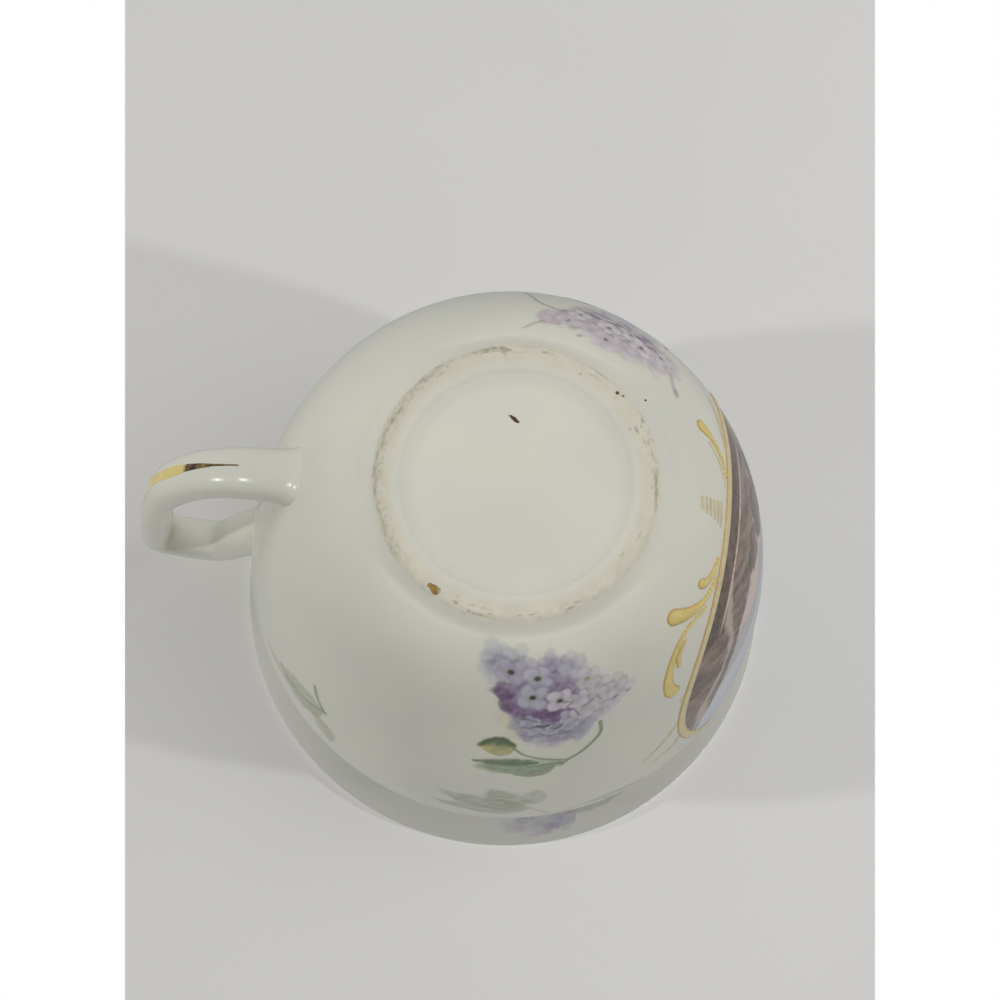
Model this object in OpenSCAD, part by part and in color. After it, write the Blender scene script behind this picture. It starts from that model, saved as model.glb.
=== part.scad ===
// Mustache cup: a footed porcelain teacup with a flared lip, an ear handle and a guard in its mouth.
// Millimetres. The origin is the centre of the foot ring's resting face, +Z is up, the handle points
// to +X and the drinker sits on the -Y side, where the guard is.

/* [Cup] */
// Overall height, from the resting face to the lip
height = 77; // [66:0.5:90]
// Diameter over the flared lip
rim_d = 98.6; // [84:0.2:114]
// How far the lip stands out past the bowl's widest place
lip_past_bulge = 3.3; // [2:0.1:5]
// Depth of the bowl's widest place below the lip
bulge_drop = 23.4; // [20:0.2:29]
// How far the lip stands out past the neck
lip_past_neck = 5.7; // [4.5:0.1:7.5]
// Depth of the neck below the lip
neck_drop = 9.5; // [8:0.5:12]
// Thickness of the bowl's wall and floor
wall = 2.8; // [2:0.1:3.6]
// Thickness of the lip
lip_t = 2.2; // [1.6:0.1:2.8]
// Slope of the lip above the level
lip_slope = 34; // [25:1:50]

/* [Foot ring] */
// Outer diameter of the foot ring
foot_d = 44; // [38:0.5:50]
// Height of the foot ring
foot_h = 1; // [0.8:0.1:3]
// Width of the flat resting face
foot_flat_w = 2.6; // [1.5:0.1:4]
// Width of the slope from the resting face in to the base
foot_slope_w = 4; // [1.2:0.1:5]
// Width of the chamfer round the foot's outer edge
foot_edge = 0.4; // [0.2:0.1:0.8]

/* [Mustache guard] */
// Depth of the guard's crown below the lip
guard_drop = 7; // [5:0.5:9]
// Thickness of the guard
guard_t = 3; // [2:0.1:4]
// Radius of the guard's shallow dome
guard_dome_r = 250; // [180:5:400]
// Distance of the guard's free edge from the cup's axis
guard_edge_y = 8; // [4:0.5:12]
// Radius of the nose in the middle of the free edge
guard_nose_r = 12; // [9:0.5:14]
// Radius of the bay on each side of the nose
guard_bay_r = 11; // [8:0.5:12]
// Length of the sip opening, along the wall
sip_l = 38; // [30:0.5:44]
// Width of the sip opening at its middle
sip_w = 10.8; // [8:0.1:13]

/* [Handle] */
// How far the handle's outer face stands out of the bowl's widest place
handle_reach = 22; // [18:0.2:27]
// Height of the lower arm's centre line
handle_low_z = 16; // [13:0.5:20]
// Depth of the upper arm's centre line below the lip
handle_top_drop = 11.7; // [10:0.1:15]
// Width of the strap at the lower arm
handle_low_w = 8.3; // [7:0.1:11]
// Width of the strap at the upper arm
handle_top_w = 7.2; // [6:0.1:10]
// Thickness of the strap
handle_t = 5.4; // [4:0.1:7]
// Extra width and thickness where the strap meets the bowl
handle_root = 3; // [0:0.1:4]

/* [Decoration] */
// Thickness of a fired print
film_t = 0.15; // [0.1:0.01:0.3]
// Thickness of the raised gilding
gilt_t = 0.25; // [0.15:0.01:0.4]
// Width of the gold line on the guard's edges
guard_gilt_w = 1.2; // [0.8:0.1:2]
// Width of the picture panel
panel_w = 57; // [50:0.5:74]
// Depth of the panel's top below the lip
panel_top_gap = 10.5; // [10:0.5:16]
// Height of the panel's bottom above the resting face
panel_foot_gap = 10.8; // [10:0.1:16]
// Direction that the panel faces, turned from the handle
panel_az = 180; // [170:1:190]
// Width of the panel's gold frame
frame_w = 1.5; // [1:0.1:2.5]
// Distance round the bowl from the panel's edge to the middle of the front spray
front_spray_gap = 29.5; // [25:0.1:31]
// Distance round the bowl from the panel's edge to the middle of the back spray
back_spray_gap = 23.1; // [17:0.1:26]
// Width of a lilac cluster
cluster_w = 24; // [18:0.5:28]
// Length of a lilac cluster
cluster_l = 21; // [16:0.5:24]
// Width of the small lilac cluster on the flare
rim_cluster_w = 15; // [10:0.5:18]
// Length of the small lilac cluster on the flare
rim_cluster_l = 7; // [5:0.5:8]
// Length of a leaf
leaf_l = 15; // [10:0.5:18]
// Width of a leaf
leaf_w = 6.5; // [4:0.1:8]

/* [Hidden] */
$fn = 96;

rim_r = rim_d / 2;
bulge_r = rim_r - lip_past_bulge;
bulge_z = height - bulge_drop;
neck_r = rim_r - lip_past_neck;
neck_z = height - neck_drop;
foot_r = foot_d / 2;
mouth_r = neck_r - wall;
// How far every cutter runs past what it cuts
overrun = 1;
// Steps along each curve of the bowl's profile and round the lip
bowl_steps = 16;
neck_steps = 7;
lip_steps = 8;

porcelain = [0.93, 0.93, 0.90];
biscuit = [0.88, 0.84, 0.75];
gold = [0.80, 0.62, 0.24];
lilac = [0.62, 0.52, 0.76];
leaf_green = [0.55, 0.65, 0.45];
picture_tone = [0.60, 0.50, 0.46];

// The bowl's profile: three cubic curves in radius and height, tangent where they meet

// Where the foot's wall turns into the bowl, above the foot ring
bowl_start = [foot_r, foot_h + foot_edge];
// Reach of the curve's handles, as shares of the radius or the height that the curve covers
bowl_out_share = 0.75;
bowl_rise_share = 0.047;
bowl_up_share = 0.155;
shoulder_share = 0.38;
flare_share = 0.46;
lip_in_share = 0.55;
lip_centre = [rim_r - lip_t / 2, height - lip_t / 2];
lip_normal = [sin(lip_slope), -cos(lip_slope)];
lip_tangent = [cos(lip_slope), sin(lip_slope)];
lip_edge = lip_centre + lip_normal * lip_t / 2;

bowl_curve = [
    bowl_start,
    bowl_start + [bowl_out_share * (bulge_r - foot_r), bowl_rise_share * (bulge_z - bowl_start.y)],
    [bulge_r, bulge_z - bowl_up_share * (bulge_z - bowl_start.y)],
    [bulge_r, bulge_z]
];
shoulder_curve = [
    [bulge_r, bulge_z],
    [bulge_r, bulge_z + shoulder_share * (neck_z - bulge_z)],
    [neck_r, neck_z - shoulder_share * (neck_z - bulge_z)],
    [neck_r, neck_z]
];
flare_curve = [
    [neck_r, neck_z],
    [neck_r, neck_z + flare_share * (lip_edge.y - neck_z)],
    lip_edge - lip_tangent * lip_in_share * (lip_edge.x - neck_r),
    lip_edge
];

function bezier(c, t) =
    pow(1 - t, 3) * c[0] + 3 * t * pow(1 - t, 2) * c[1] + 3 * t * t * (1 - t) * c[2] + pow(t, 3) * c[3];
function bezier_way(c, t) =
    pow(1 - t, 2) * (c[1] - c[0]) + 2 * t * (1 - t) * (c[2] - c[1]) + t * t * (c[3] - c[2]);
function unit(v) = v / norm(v);
// The direction out of the wall at a place on a curve
function bezier_out(c, t) = let (w = unit(bezier_way(c, t))) [w.y, -w.x];

// Points moved out of the wall by d at the curve's start and by d_end at its end
function offset_curve(c, steps, d, d_end) = [
    for (i = [0:steps])
        let (t = i / steps)
        bezier(c, t) + bezier_out(c, t) * (d + (d_end - d) * t)
];
function without_first(list) = [for (i = [1:len(list) - 1]) list[i]];
function reversed(list) = [for (i = [len(list) - 1:-1:0]) list[i]];
function wall_line(d, d_end) = concat(
    offset_curve(bowl_curve, bowl_steps, d, d),
    without_first(offset_curve(shoulder_curve, neck_steps, d, d)),
    without_first(offset_curve(flare_curve, neck_steps, d, d_end))
);
outer_line = wall_line(0, 0);
inner_line = wall_line(-wall, -lip_t);
floor_z = inner_line[0].y;
lip_line = [
    for (i = [1:lip_steps - 1])
        let (a = lip_slope - 90 + 180 * i / lip_steps)
        lip_centre + [cos(a), sin(a)] * lip_t / 2
];

// Everything inside the cup's outer face, for seating what is on it
module outer_solid() {
    rotate_extrude() polygon(concat(
        [[0, foot_h], [foot_r, foot_h]], outer_line, lip_line,
        [inner_line[len(inner_line) - 1], [0, height]]
    ));
}

// Everything inside the cup's inner face, up to the lip
module inner_solid() {
    rotate_extrude() polygon(concat([[0, floor_z]], inner_line, [[0, lip_centre.y]]));
}

// A skin of thickness t that lies on the whole outer face
module outer_skin(t) {
    rotate_extrude() polygon(concat(outer_line, reversed(wall_line(t, t))));
}

// Places a drawing on the wall at a turn about the axis and a place along one of the wall's curves:
// the drawing's y runs up the wall, its x to the right of someone who faces it
module on_wall(turn, curve, t) {
    p = bezier(curve, t);
    out = bezier_out(curve, t);
    rotate([0, 0, turn]) translate([p.x, 0, p.y]) rotate([0, 90 - atan2(out.y, out.x), 0])
        rotate([0, 0, 90]) children();
}

// The part of a skin that lies under a drawing, which is placed as on_wall says
module print_on_wall(turn, curve, t, thick) {
    intersection() {
        outer_skin(thick);
        on_wall(turn, curve, t) translate([0, 0, -bulge_r / 2])
            linear_extrude(bulge_r / 2 + overrun + thick) children();
    }
}

module cup_body() {
    color(porcelain) rotate_extrude() polygon(concat(
        [[0, foot_h], [foot_r, foot_h]], outer_line, lip_line, reversed(inner_line), [[0, floor_z]]
    ));
}

module foot_ring() {
    flat_r = foot_r - foot_edge - foot_flat_w;
    color(biscuit) rotate_extrude() polygon([
        [flat_r, 0], [foot_r - foot_edge, 0], [foot_r, foot_edge], [foot_r, foot_h],
        [flat_r - foot_slope_w, foot_h]
    ]);
}

// The guard's outline from above, drawn in by inset along its two free edges
nose_centre = [0, -guard_edge_y - guard_nose_r];
bay_x = sqrt(2 * guard_nose_r * guard_bay_r + guard_bay_r * guard_bay_r);
sip_end_y = -sqrt(mouth_r * mouth_r - sip_l * sip_l / 4);
sip_mid_y = -(mouth_r - sip_w);
sip_centre_y = (sip_l * sip_l / 4 + sip_end_y * sip_end_y - sip_mid_y * sip_mid_y)
    / (2 * (sip_end_y - sip_mid_y));

module guard_outline(inset = 0) {
    nose_r = guard_nose_r - inset;
    joint = nose_centre + nose_r * unit([bay_x, guard_nose_r]);
    difference() {
        translate([-rim_r, -rim_r]) square([rim_d, rim_r - guard_edge_y - inset]);
        difference() {
            union() {
                for (side = [-1, 1])
                    translate([side * bay_x, -guard_edge_y]) circle(guard_bay_r + inset);
                polygon([
                    [-bay_x, -guard_edge_y + overrun], [bay_x, -guard_edge_y + overrun],
                    joint, [-joint.x, joint.y]
                ]);
            }
            translate(nose_centre) circle(nose_r);
        }
        translate([0, sip_centre_y]) circle(sip_mid_y - sip_centre_y + inset);
    }
}

// A layer of the guard's dome, from low to high above its upper face, under a drawing seen from above
module guard_layer(low, high) {
    intersection() {
        inner_solid();
        translate([0, 0, height - guard_drop - guard_dome_r]) difference() {
            sphere(guard_dome_r + high);
            sphere(guard_dome_r + low);
        }
        translate([0, 0, bulge_z]) linear_extrude(height - bulge_z) children();
    }
}

module mustache_guard() {
    color(porcelain) guard_layer(-guard_t, 0) guard_outline();
}

module guard_gilding() {
    color(gold) guard_layer(0, gilt_t) difference() {
        guard_outline();
        guard_outline(guard_gilt_w);
    }
}

// The lip's gold line runs over the crown and a little way inside
rim_gilt_from_turn = 75;
rim_gilt_to_turn = 150;
module rim_gilding() {
    turns = [
        for (i = [0:lip_steps])
            rim_gilt_from_turn + (rim_gilt_to_turn - rim_gilt_from_turn) * i / lip_steps
    ];
    band = concat(
        [for (a = turns) lip_centre + [cos(a), sin(a)] * lip_t / 2],
        [for (a = reversed(turns)) lip_centre + [cos(a), sin(a)] * (lip_t / 2 + gilt_t)]
    );
    color(gold) difference() {
        rotate_extrude() polygon(band);
        cup_body();
    }
}

// The handle: a strap swept along a smooth line through hand-chosen places. Each place is a share of
// the way from the bowl's widest radius to the outer strap, and of the way from the lower to the upper arm
handle_path_shares = [
    [-1, -0.05], [-0.56, -0.042], [-0.12, -0.02], [0.25, 0.06], [0.60, 0.25], [0.81, 0.50],
    [0.92, 0.73], [1, 0.93], [0.79, 1], [0.41, 0.99], [0.125, 0.83], [-0.36, 0.6]
];
handle_steps = 4;
strap_sides = 16;
strap_squareness = 2.6;
strap_out = handle_reach - handle_t / 2;
handle_rise = height - handle_top_drop - handle_low_z;
handle_path = [
    for (s = handle_path_shares) [bulge_r + s.x * strap_out, handle_low_z + s.y * handle_rise]
];
handle_last = len(handle_path) - 1;
handle_rings = handle_last * handle_steps;

function path_point(i) = handle_path[max(0, min(handle_last, i))];
// Catmull-Rom curve through the path's places, at u from 0 to the number of spans
function path_at(u) =
    let (
        i = min(floor(u), handle_last - 1), t = u - i,
        a = path_point(i - 1), b = path_point(i), c = path_point(i + 1), d = path_point(i + 2)
    )
    b + t * (c - a) / 2 + t * t * (a - 2.5 * b + 2 * c - d / 2) + t * t * t * (3 * b - a - 3 * c + d) / 2;
path_step_share = 0.05;
function path_way(u) = unit(
    path_at(min(handle_last, u + path_step_share)) - path_at(max(0, u - path_step_share))
);
// Extra size towards either root, from 0 in the middle of the handle to 1 at its ends
root_sharpness = 6;
function root_swell(u) = pow(abs(2 * u / handle_last - 1), root_sharpness);
function strap_half_w(u) =
    (handle_low_w + (handle_top_w - handle_low_w) * u / handle_last + handle_root * root_swell(u)) / 2;
function strap_half_t(u) = (handle_t + handle_root * root_swell(u)) / 2;
function rounded(v) = sign(v) * pow(abs(v), 2 / strap_squareness);
// A point of the strap's section: across the strap, and out from its centre line
function strap_point(u, side, lift = 0) =
    let (
        a = (side + 0.5) * 360 / strap_sides,
        way = path_way(u), out = [way.y, -way.x], p = path_at(u),
        q = p + out * (strap_half_t(u) * rounded(cos(a)) + lift)
    )
    [q.x, strap_half_w(u) * rounded(sin(a)), q.y];

// Joins rings of points, each with the same count, into one closed solid
module sweep(rings) {
    n = len(rings[0]);
    last = len(rings) - 1;
    points = [for (r = rings) each r];
    sides = [
        for (i = [0:last - 1], j = [0:n - 1])
            let (a = i * n + j, b = i * n + (j + 1) % n)
            each [[a, b, b + n], [a, b + n, a + n]]
    ];
    ends = [
        for (j = [1:n - 2])
            each [[0, j + 1, j], [last * n, last * n + j, last * n + j + 1]]
    ];
    polyhedron(points, concat(sides, ends));
}

module handle() {
    color(porcelain) difference() {
        sweep([
            for (i = [0:handle_rings])
                [for (j = [0:strap_sides - 1]) strap_point(i / handle_steps, j)]
        ]);
        outer_solid();
    }
}

// The gold stripe lies on the flat facet along the strap's outer crest, between two shares of its length
stripe_shares = [0.18, 0.89];
module handle_gilding() {
    ring_ends = [for (s = stripe_shares) round(s * handle_rings)];
    color(gold) sweep([
        for (i = [ring_ends[0]:ring_ends[1]])
            let (u = i / handle_steps)
            [
                strap_point(u, strap_sides - 1), strap_point(u, 0),
                strap_point(u, 0, gilt_t), strap_point(u, strap_sides - 1, gilt_t)
            ]
    ]);
}

// The picture panel and its frame are ovals seen square on from the panel's side
panel_h = height - panel_top_gap - panel_foot_gap;
panel_z = panel_foot_gap + panel_h / 2;
panel_half_turn = asin(panel_w / 2 / bulge_r);
function bulge_turn(length) = length / bulge_r * 180 / PI;

module oval(w, h) {
    sides = 48;
    polygon([for (i = [0:sides - 1]) [w / 2 * cos(360 * i / sides), h / 2 * sin(360 * i / sides)]]);
}

module panel_print(thick) {
    intersection() {
        outer_skin(thick);
        rotate([0, 0, panel_az]) translate([0, 0, panel_z]) rotate([90, 0, 90])
            linear_extrude(rim_r + overrun) children();
    }
}

module picture_panel() {
    color(picture_tone) panel_print(film_t) oval(panel_w, panel_h);
}

module panel_frame() {
    color(gold) panel_print(gilt_t) difference() {
        oval(panel_w + 2 * frame_w, panel_h + 2 * frame_w);
        oval(panel_w, panel_h);
    }
}

// A scroll: a tapering stroke along an arc that ends in a round knob
knob_share = 0.8;
module scroll(radius, from, to, thick) {
    steps = 10;
    knob_sides = 14;
    function stroke(side) = [
        for (i = [0:steps])
            let (
                t = side > 0 ? i / steps : 1 - i / steps,
                a = from + (to - from) * t,
                r = radius + side * thick / 2 * (1 - t / 2)
            )
            [r * cos(a), r * sin(a)]
    ];
    polygon(concat(stroke(1), stroke(-1)));
    translate(radius * [cos(to), sin(to)])
        polygon([
            for (i = [0:knob_sides - 1])
                let (a = 360 * i / knob_sides)
                knob_share * thick * [cos(a), sin(a)]
        ]);
}

// Each scroll: its arc's centre as shares of the panel's half width and half height, the arc's radius
// as a share of the panel's height, and the turns where it starts and ends
pair_scroll_shares = [
    [[0.32, -1.12], 0.065, 95, 5],
    [[0.47, -1.145], 0.082, 95, 0],
    [[1.05, 0.22], 0.11, 230, 320],
    [[0.65, 0.75], 0.15, 100, 2]
];
// This one is only on the side of the front spray, because the back spray hangs in its place
front_scroll_shares = [[0.65, -0.75], 0.15, -100, -2];
scroll_w = 1.4;
shell_ribs = 5;
shell_rib_l = 5;
shell_rib_w = 0.7;
shell_fan = 14;
module panel_scroll(s) {
    translate([s[0].x * panel_w / 2, s[0].y * panel_h / 2]) scroll(s[1] * panel_h, s[2], s[3], scroll_w);
}

module frame_scrolls() {
    frame_h = panel_h / 2 + frame_w;
    color(gold) panel_print(gilt_t) difference() {
        union() {
            for (side = [0, 1], s = pair_scroll_shares) mirror([side, 0]) panel_scroll(s);
            panel_scroll(front_scroll_shares);
            for (i = [0:shell_ribs - 1])
                translate([0, -frame_h]) rotate([0, 0, shell_fan * (i - (shell_ribs - 1) / 2)])
                    translate([-shell_rib_w / 2, -shell_rib_l]) square([shell_rib_w, shell_rib_l]);
        }
        oval(panel_w + 2 * frame_w, panel_h + 2 * frame_w);
    }
}

// A cluster of lilac florets: an oval with a scalloped edge
cluster_lobes = 9;
cluster_lobe_share = 0.10;
module cluster(w, l) {
    sides = 54;
    polygon([
        for (i = [0:sides - 1])
            let (a = 360 * i / sides, r = 1 - cluster_lobe_share * (1 - abs(sin(a * cluster_lobes / 2))))
            [r * w / 2 * cos(a), r * l / 2 * sin(a)]
    ]);
}

// A pointed leaf from its stalk at the origin along +X
module leaf() {
    steps = 10;
    fullness = 0.8;
    edge = [for (i = [0:steps]) [leaf_l * i / steps, leaf_w / 2 * pow(sin(180 * i / steps), fullness)]];
    polygon(concat(edge, [for (i = [steps - 1:-1:1]) [edge[i].x, -edge[i].y]]));
}

// Leaves set out from one place, each at its own turn
module leaves(turns) {
    for (a = turns) rotate([0, 0, a]) leaf();
}

// A hanging spray: the cluster with a pair of leaves above it
spray_leaf_turns = [28, 74];
leaf_seat_share = 0.42;
module spray() {
    cluster(cluster_w, cluster_l);
    translate([0, leaf_seat_share * cluster_l]) leaves(spray_leaf_turns);
}

front_turn = panel_az + panel_half_turn + bulge_turn(front_spray_gap);
front_share = 0.27;
module lilac_spray_front() {
    color(lilac) print_on_wall(front_turn, bowl_curve, front_share, film_t) spray();
}

back_turn = panel_az - panel_half_turn - bulge_turn(back_spray_gap);
back_share = 0.27;
module lilac_spray_back() {
    color(lilac) print_on_wall(back_turn, bowl_curve, back_share, film_t) mirror([1, 0]) spray();
}

// The rim's spray stands: its leaves are on the bowl and its cluster on the flare above them
rim_leaf_turn = front_turn + 6;
rim_leaf_share = 0.74;
rim_leaf_turns = [15, 155];
rim_cluster_turn = front_turn - 4;
rim_cluster_share = 0.72;
module lilac_spray_rim() {
    color(lilac) {
        print_on_wall(rim_leaf_turn, bowl_curve, rim_leaf_share, film_t) leaves(rim_leaf_turns);
        print_on_wall(rim_cluster_turn, flare_curve, rim_cluster_share, film_t)
            cluster(rim_cluster_w, rim_cluster_l);
    }
}

sprig_turn = front_turn + 59;
sprig_share = 0.70;
sprig_leaf_turns = [40, 100, 205];
module leaf_sprig() {
    color(leaf_green) print_on_wall(sprig_turn, bowl_curve, sprig_share, film_t) leaves(sprig_leaf_turns);
}

cup_body();
foot_ring();
handle();
mustache_guard();
rim_gilding();
guard_gilding();
handle_gilding();
picture_panel();
panel_frame();
frame_scrolls();
lilac_spray_front();
lilac_spray_back();
lilac_spray_rim();
leaf_sprig();
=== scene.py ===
"""Looks of a mustache cup: smooth glazed porcelain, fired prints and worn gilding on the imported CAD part.

Lengths are in millimetres until they reach a mesh, which is in metres. The frame is the CAD's: +Z up,
the origin in the resting face, +X towards the handle. The photograph shows the cup turned over, so its
camera looks up from below the foot, and the table of that view touches the lip.
"""
import math

import bpy
import numpy as np
from mathutils import Matrix, Vector


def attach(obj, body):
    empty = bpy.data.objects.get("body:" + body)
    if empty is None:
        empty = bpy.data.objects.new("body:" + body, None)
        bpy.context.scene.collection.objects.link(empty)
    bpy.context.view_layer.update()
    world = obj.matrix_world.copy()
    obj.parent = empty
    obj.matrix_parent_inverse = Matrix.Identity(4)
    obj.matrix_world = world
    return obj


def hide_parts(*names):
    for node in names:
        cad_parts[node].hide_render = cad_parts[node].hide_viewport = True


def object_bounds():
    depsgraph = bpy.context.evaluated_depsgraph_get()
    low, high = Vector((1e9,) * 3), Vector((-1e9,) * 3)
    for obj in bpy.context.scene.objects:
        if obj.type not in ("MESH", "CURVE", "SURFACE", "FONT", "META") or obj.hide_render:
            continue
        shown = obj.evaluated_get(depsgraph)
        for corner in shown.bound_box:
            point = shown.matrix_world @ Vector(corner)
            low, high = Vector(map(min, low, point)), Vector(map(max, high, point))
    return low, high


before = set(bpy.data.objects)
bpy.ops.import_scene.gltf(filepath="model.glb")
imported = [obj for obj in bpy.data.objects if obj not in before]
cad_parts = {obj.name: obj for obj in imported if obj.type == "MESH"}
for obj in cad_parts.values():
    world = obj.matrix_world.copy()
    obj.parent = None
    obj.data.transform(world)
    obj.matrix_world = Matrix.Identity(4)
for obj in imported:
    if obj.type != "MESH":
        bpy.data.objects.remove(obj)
cad_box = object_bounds()

MM = 0.001

# Sizes of the cup, as in the CAD source
HEIGHT = 77.0
RIM_R = 49.28
BULGE_R, BULGE_Z = 46.0, 53.6
NECK_R, NECK_Z = 43.6, 67.5
FOOT_R, FOOT_H, FOOT_EDGE = 22.0, 1.0, 0.4
FOOT_FLAT_W, FOOT_SLOPE_W = 2.6, 4.0
WALL, LIP_T, LIP_SLOPE = 2.8, 2.2, math.radians(34)
PANEL_TURN, PANEL_W, PANEL_H, PANEL_Z = 180.0, 57.0, 55.7, 38.65
FRAME_W = 1.5
GILT_T = 0.25


def srgb(red, green, blue):
    """A colour given as it looks on a screen, from 0 to 255, as linear values."""
    c = np.array([red, green, blue], float) / 255
    return np.where(c <= 0.04045, c / 12.92, ((c + 0.055) / 1.055) ** 2.4)


PORCELAIN = srgb(214, 212, 198)
PORCELAIN_COOL = srgb(207, 207, 196)
# The rim's painted shade: a darker, cooler white
PORCELAIN_RIM_SHADE = srgb(203, 203, 195)
GOLD = srgb(238, 218, 140)
GOLD_PALE = srgb(230, 218, 176)
GOLD_FAINT = srgb(216, 208, 176)
GOLD_DEEP = srgb(214, 184, 108)
BROWN_LINE = srgb(190, 160, 102)
# The dark start of the handle's stripe: a painted reflection on the gold
STRIPE_REFLECTION_DARK = srgb(62, 42, 28)
IRON_SPECK, FLECK = srgb(120, 108, 90), srgb(76, 58, 38)
CLAY, CLAY_DARK = srgb(212, 207, 190), srgb(205, 200, 182)
DIRT, BLACK = srgb(108, 102, 78), srgb(38, 32, 28)
OCHRE_DARK, OCHRE = srgb(96, 72, 30), srgb(176, 140, 58)
TABLE_WHITE, FLOOR_WHITE = srgb(215, 214, 212), srgb(236, 235, 233)

# Points of the noise's lattice along each side
LATTICE = 64


def smooth(start, end, x):
    """0 before start, 1 after end and a smooth ramp between them; start may be the larger."""
    t = np.clip((x - start) / (end - start), 0, 1)
    return t * t * (3 - 2 * t)


def cloud(x, y, cell, seed, octaves=3):
    """Smooth noise from 0 to 1 over a drawing, with features about one cell across."""
    rng = np.random.default_rng(seed)
    total, weight, share = 0.0, 0.0, 1.0
    for _ in range(octaves):
        lattice = rng.random((LATTICE, LATTICE))
        ix, iy = np.floor(x / cell).astype(int), np.floor(y / cell).astype(int)
        fx, fy = smooth(0, 1, x / cell - ix), smooth(0, 1, y / cell - iy)
        ix, iy, jx, jy = (k % LATTICE for k in (ix, iy, ix + 1, iy + 1))
        low = lattice[iy, ix] * (1 - fx) + lattice[iy, jx] * fx
        high = lattice[jy, ix] * (1 - fx) + lattice[jy, jx] * fx
        total = total + share * (low * (1 - fy) + high * fy)
        weight, share, cell = weight + share, share / 2, cell / 2
    return total / weight


# The wall's outer face: three cubic curves in radius and height, and the lip's half round


def bezier(c, n):
    """Points of a cubic curve with the control points c."""
    t = np.linspace(0, 1, n)[:, None]
    c = np.array(c, float)
    return (1 - t) ** 3 * c[0] + 3 * t * (1 - t) ** 2 * c[1] + 3 * t * t * (1 - t) * c[2] + t**3 * c[3]


LIP_CENTRE = np.array([RIM_R - LIP_T / 2, HEIGHT - LIP_T / 2])
LIP_EDGE = LIP_CENTRE + LIP_T / 2 * np.array([math.sin(LIP_SLOPE), -math.cos(LIP_SLOPE)])
LIP_IN = LIP_EDGE - 0.55 * (LIP_EDGE[0] - NECK_R) * np.array([math.cos(LIP_SLOPE), math.sin(LIP_SLOPE)])
BOWL_START = (FOOT_R, FOOT_H + FOOT_EDGE)
BOWL_RISE = BULGE_Z - BOWL_START[1]
BOWL = [
    BOWL_START,
    (FOOT_R + 0.75 * (BULGE_R - FOOT_R), BOWL_START[1] + 0.047 * BOWL_RISE),
    (BULGE_R, BULGE_Z - 0.155 * BOWL_RISE),
    (BULGE_R, BULGE_Z),
]
SHOULDER = [
    (BULGE_R, BULGE_Z),
    (BULGE_R, BULGE_Z + 0.38 * (NECK_Z - BULGE_Z)),
    (NECK_R, NECK_Z - 0.38 * (NECK_Z - BULGE_Z)),
    (NECK_R, NECK_Z),
]
FLARE = [(NECK_R, NECK_Z), (NECK_R, NECK_Z + 0.46 * (LIP_EDGE[1] - NECK_Z)), LIP_IN, LIP_EDGE]
BOWL_POINTS = 90
OUTER = np.vstack([bezier(BOWL, BOWL_POINTS), bezier(SHOULDER, 30)[1:], bezier(FLARE, 24)[1:]])
STEPS = np.gradient(OUTER, axis=0)
STEPS /= np.linalg.norm(STEPS, axis=1)[:, None]
OUT = np.c_[STEPS[:, 1], -STEPS[:, 0]]
LENGTH = np.r_[0, np.cumsum(np.linalg.norm(np.diff(OUTER, axis=0), axis=1))]
THICK = np.interp(OUTER[:, 1], [NECK_Z, LIP_EDGE[1]], [WALL, LIP_T])
INNER = OUTER - OUT * THICK[:, None]
FLOOR_Z = INNER[0, 1]


def wall_radius(s):
    return np.interp(s, LENGTH, OUTER[:, 0])


def wall_height(s):
    return np.interp(s, LENGTH, OUTER[:, 1])


def length_at(z):
    return np.interp(z, OUTER[:, 1], LENGTH)


def wall_out(s):
    """The way out of the wall, in radius and height."""
    return np.interp(s, LENGTH, OUT[:, 0]), np.interp(s, LENGTH, OUT[:, 1])


def on_wall(turn, s, lift):
    """Places on the outer face: degrees about the axis, length up the wall from the foot, lift off it."""
    a = np.radians(turn)
    out_r, out_z = wall_out(s)
    r, z = wall_radius(s) + lift * out_r, wall_height(s) + lift * out_z
    return np.stack([r * np.cos(a), r * np.sin(a), z], axis=-1)


# Meshes


def add_object(name, data):
    obj = bpy.data.objects.new(name, data)
    bpy.context.scene.collection.objects.link(obj)
    return obj


def piece(name, points, faces, nodes, material, crease=35):
    """A mesh from points in millimetres, riding on the cup in place of its CAD nodes."""
    mesh = bpy.data.meshes.new(name)
    mesh.from_pydata((np.asarray(points) * MM).tolist(), [], [tuple(map(int, f)) for f in faces])
    mesh.validate()
    mesh.shade_smooth()
    mesh.set_sharp_from_angle(angle=math.radians(crease))
    mesh.materials.append(material)
    obj = add_object(name, mesh)
    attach(obj, "root")
    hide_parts(*nodes)
    return obj


def set_paint(obj, colour, cover):
    """Stores a colour and a cover for each point, which the materials read."""
    count = len(obj.data.vertices)
    rgba = np.c_[np.broadcast_to(colour, (count, 3)), np.broadcast_to(cover, count)]
    paint = obj.data.color_attributes.new("paint", "FLOAT_COLOR", "POINT")
    paint.data.foreach_set("color", rgba.astype(np.float32).ravel())


def ring_faces(rings, count, close_rings):
    """Quads between rings of the same count; close_rings joins the last ring to the first."""
    faces = []
    for i in range(rings if close_rings else rings - 1):
        a, b = i * count, (i + 1) % rings * count
        faces += [(a + j, a + (j + 1) % count, b + (j + 1) % count, b + j) for j in range(count)]
    return faces


def cap_faces(rings, count, first):
    """Fans that close both ends of a stack of rings, round the point first and the one after it."""
    end = (rings - 1) * count
    faces = [(first, (j + 1) % count, j) for j in range(count)]
    return faces + [(first + 1, end + j, end + (j + 1) % count) for j in range(count)]


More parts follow.
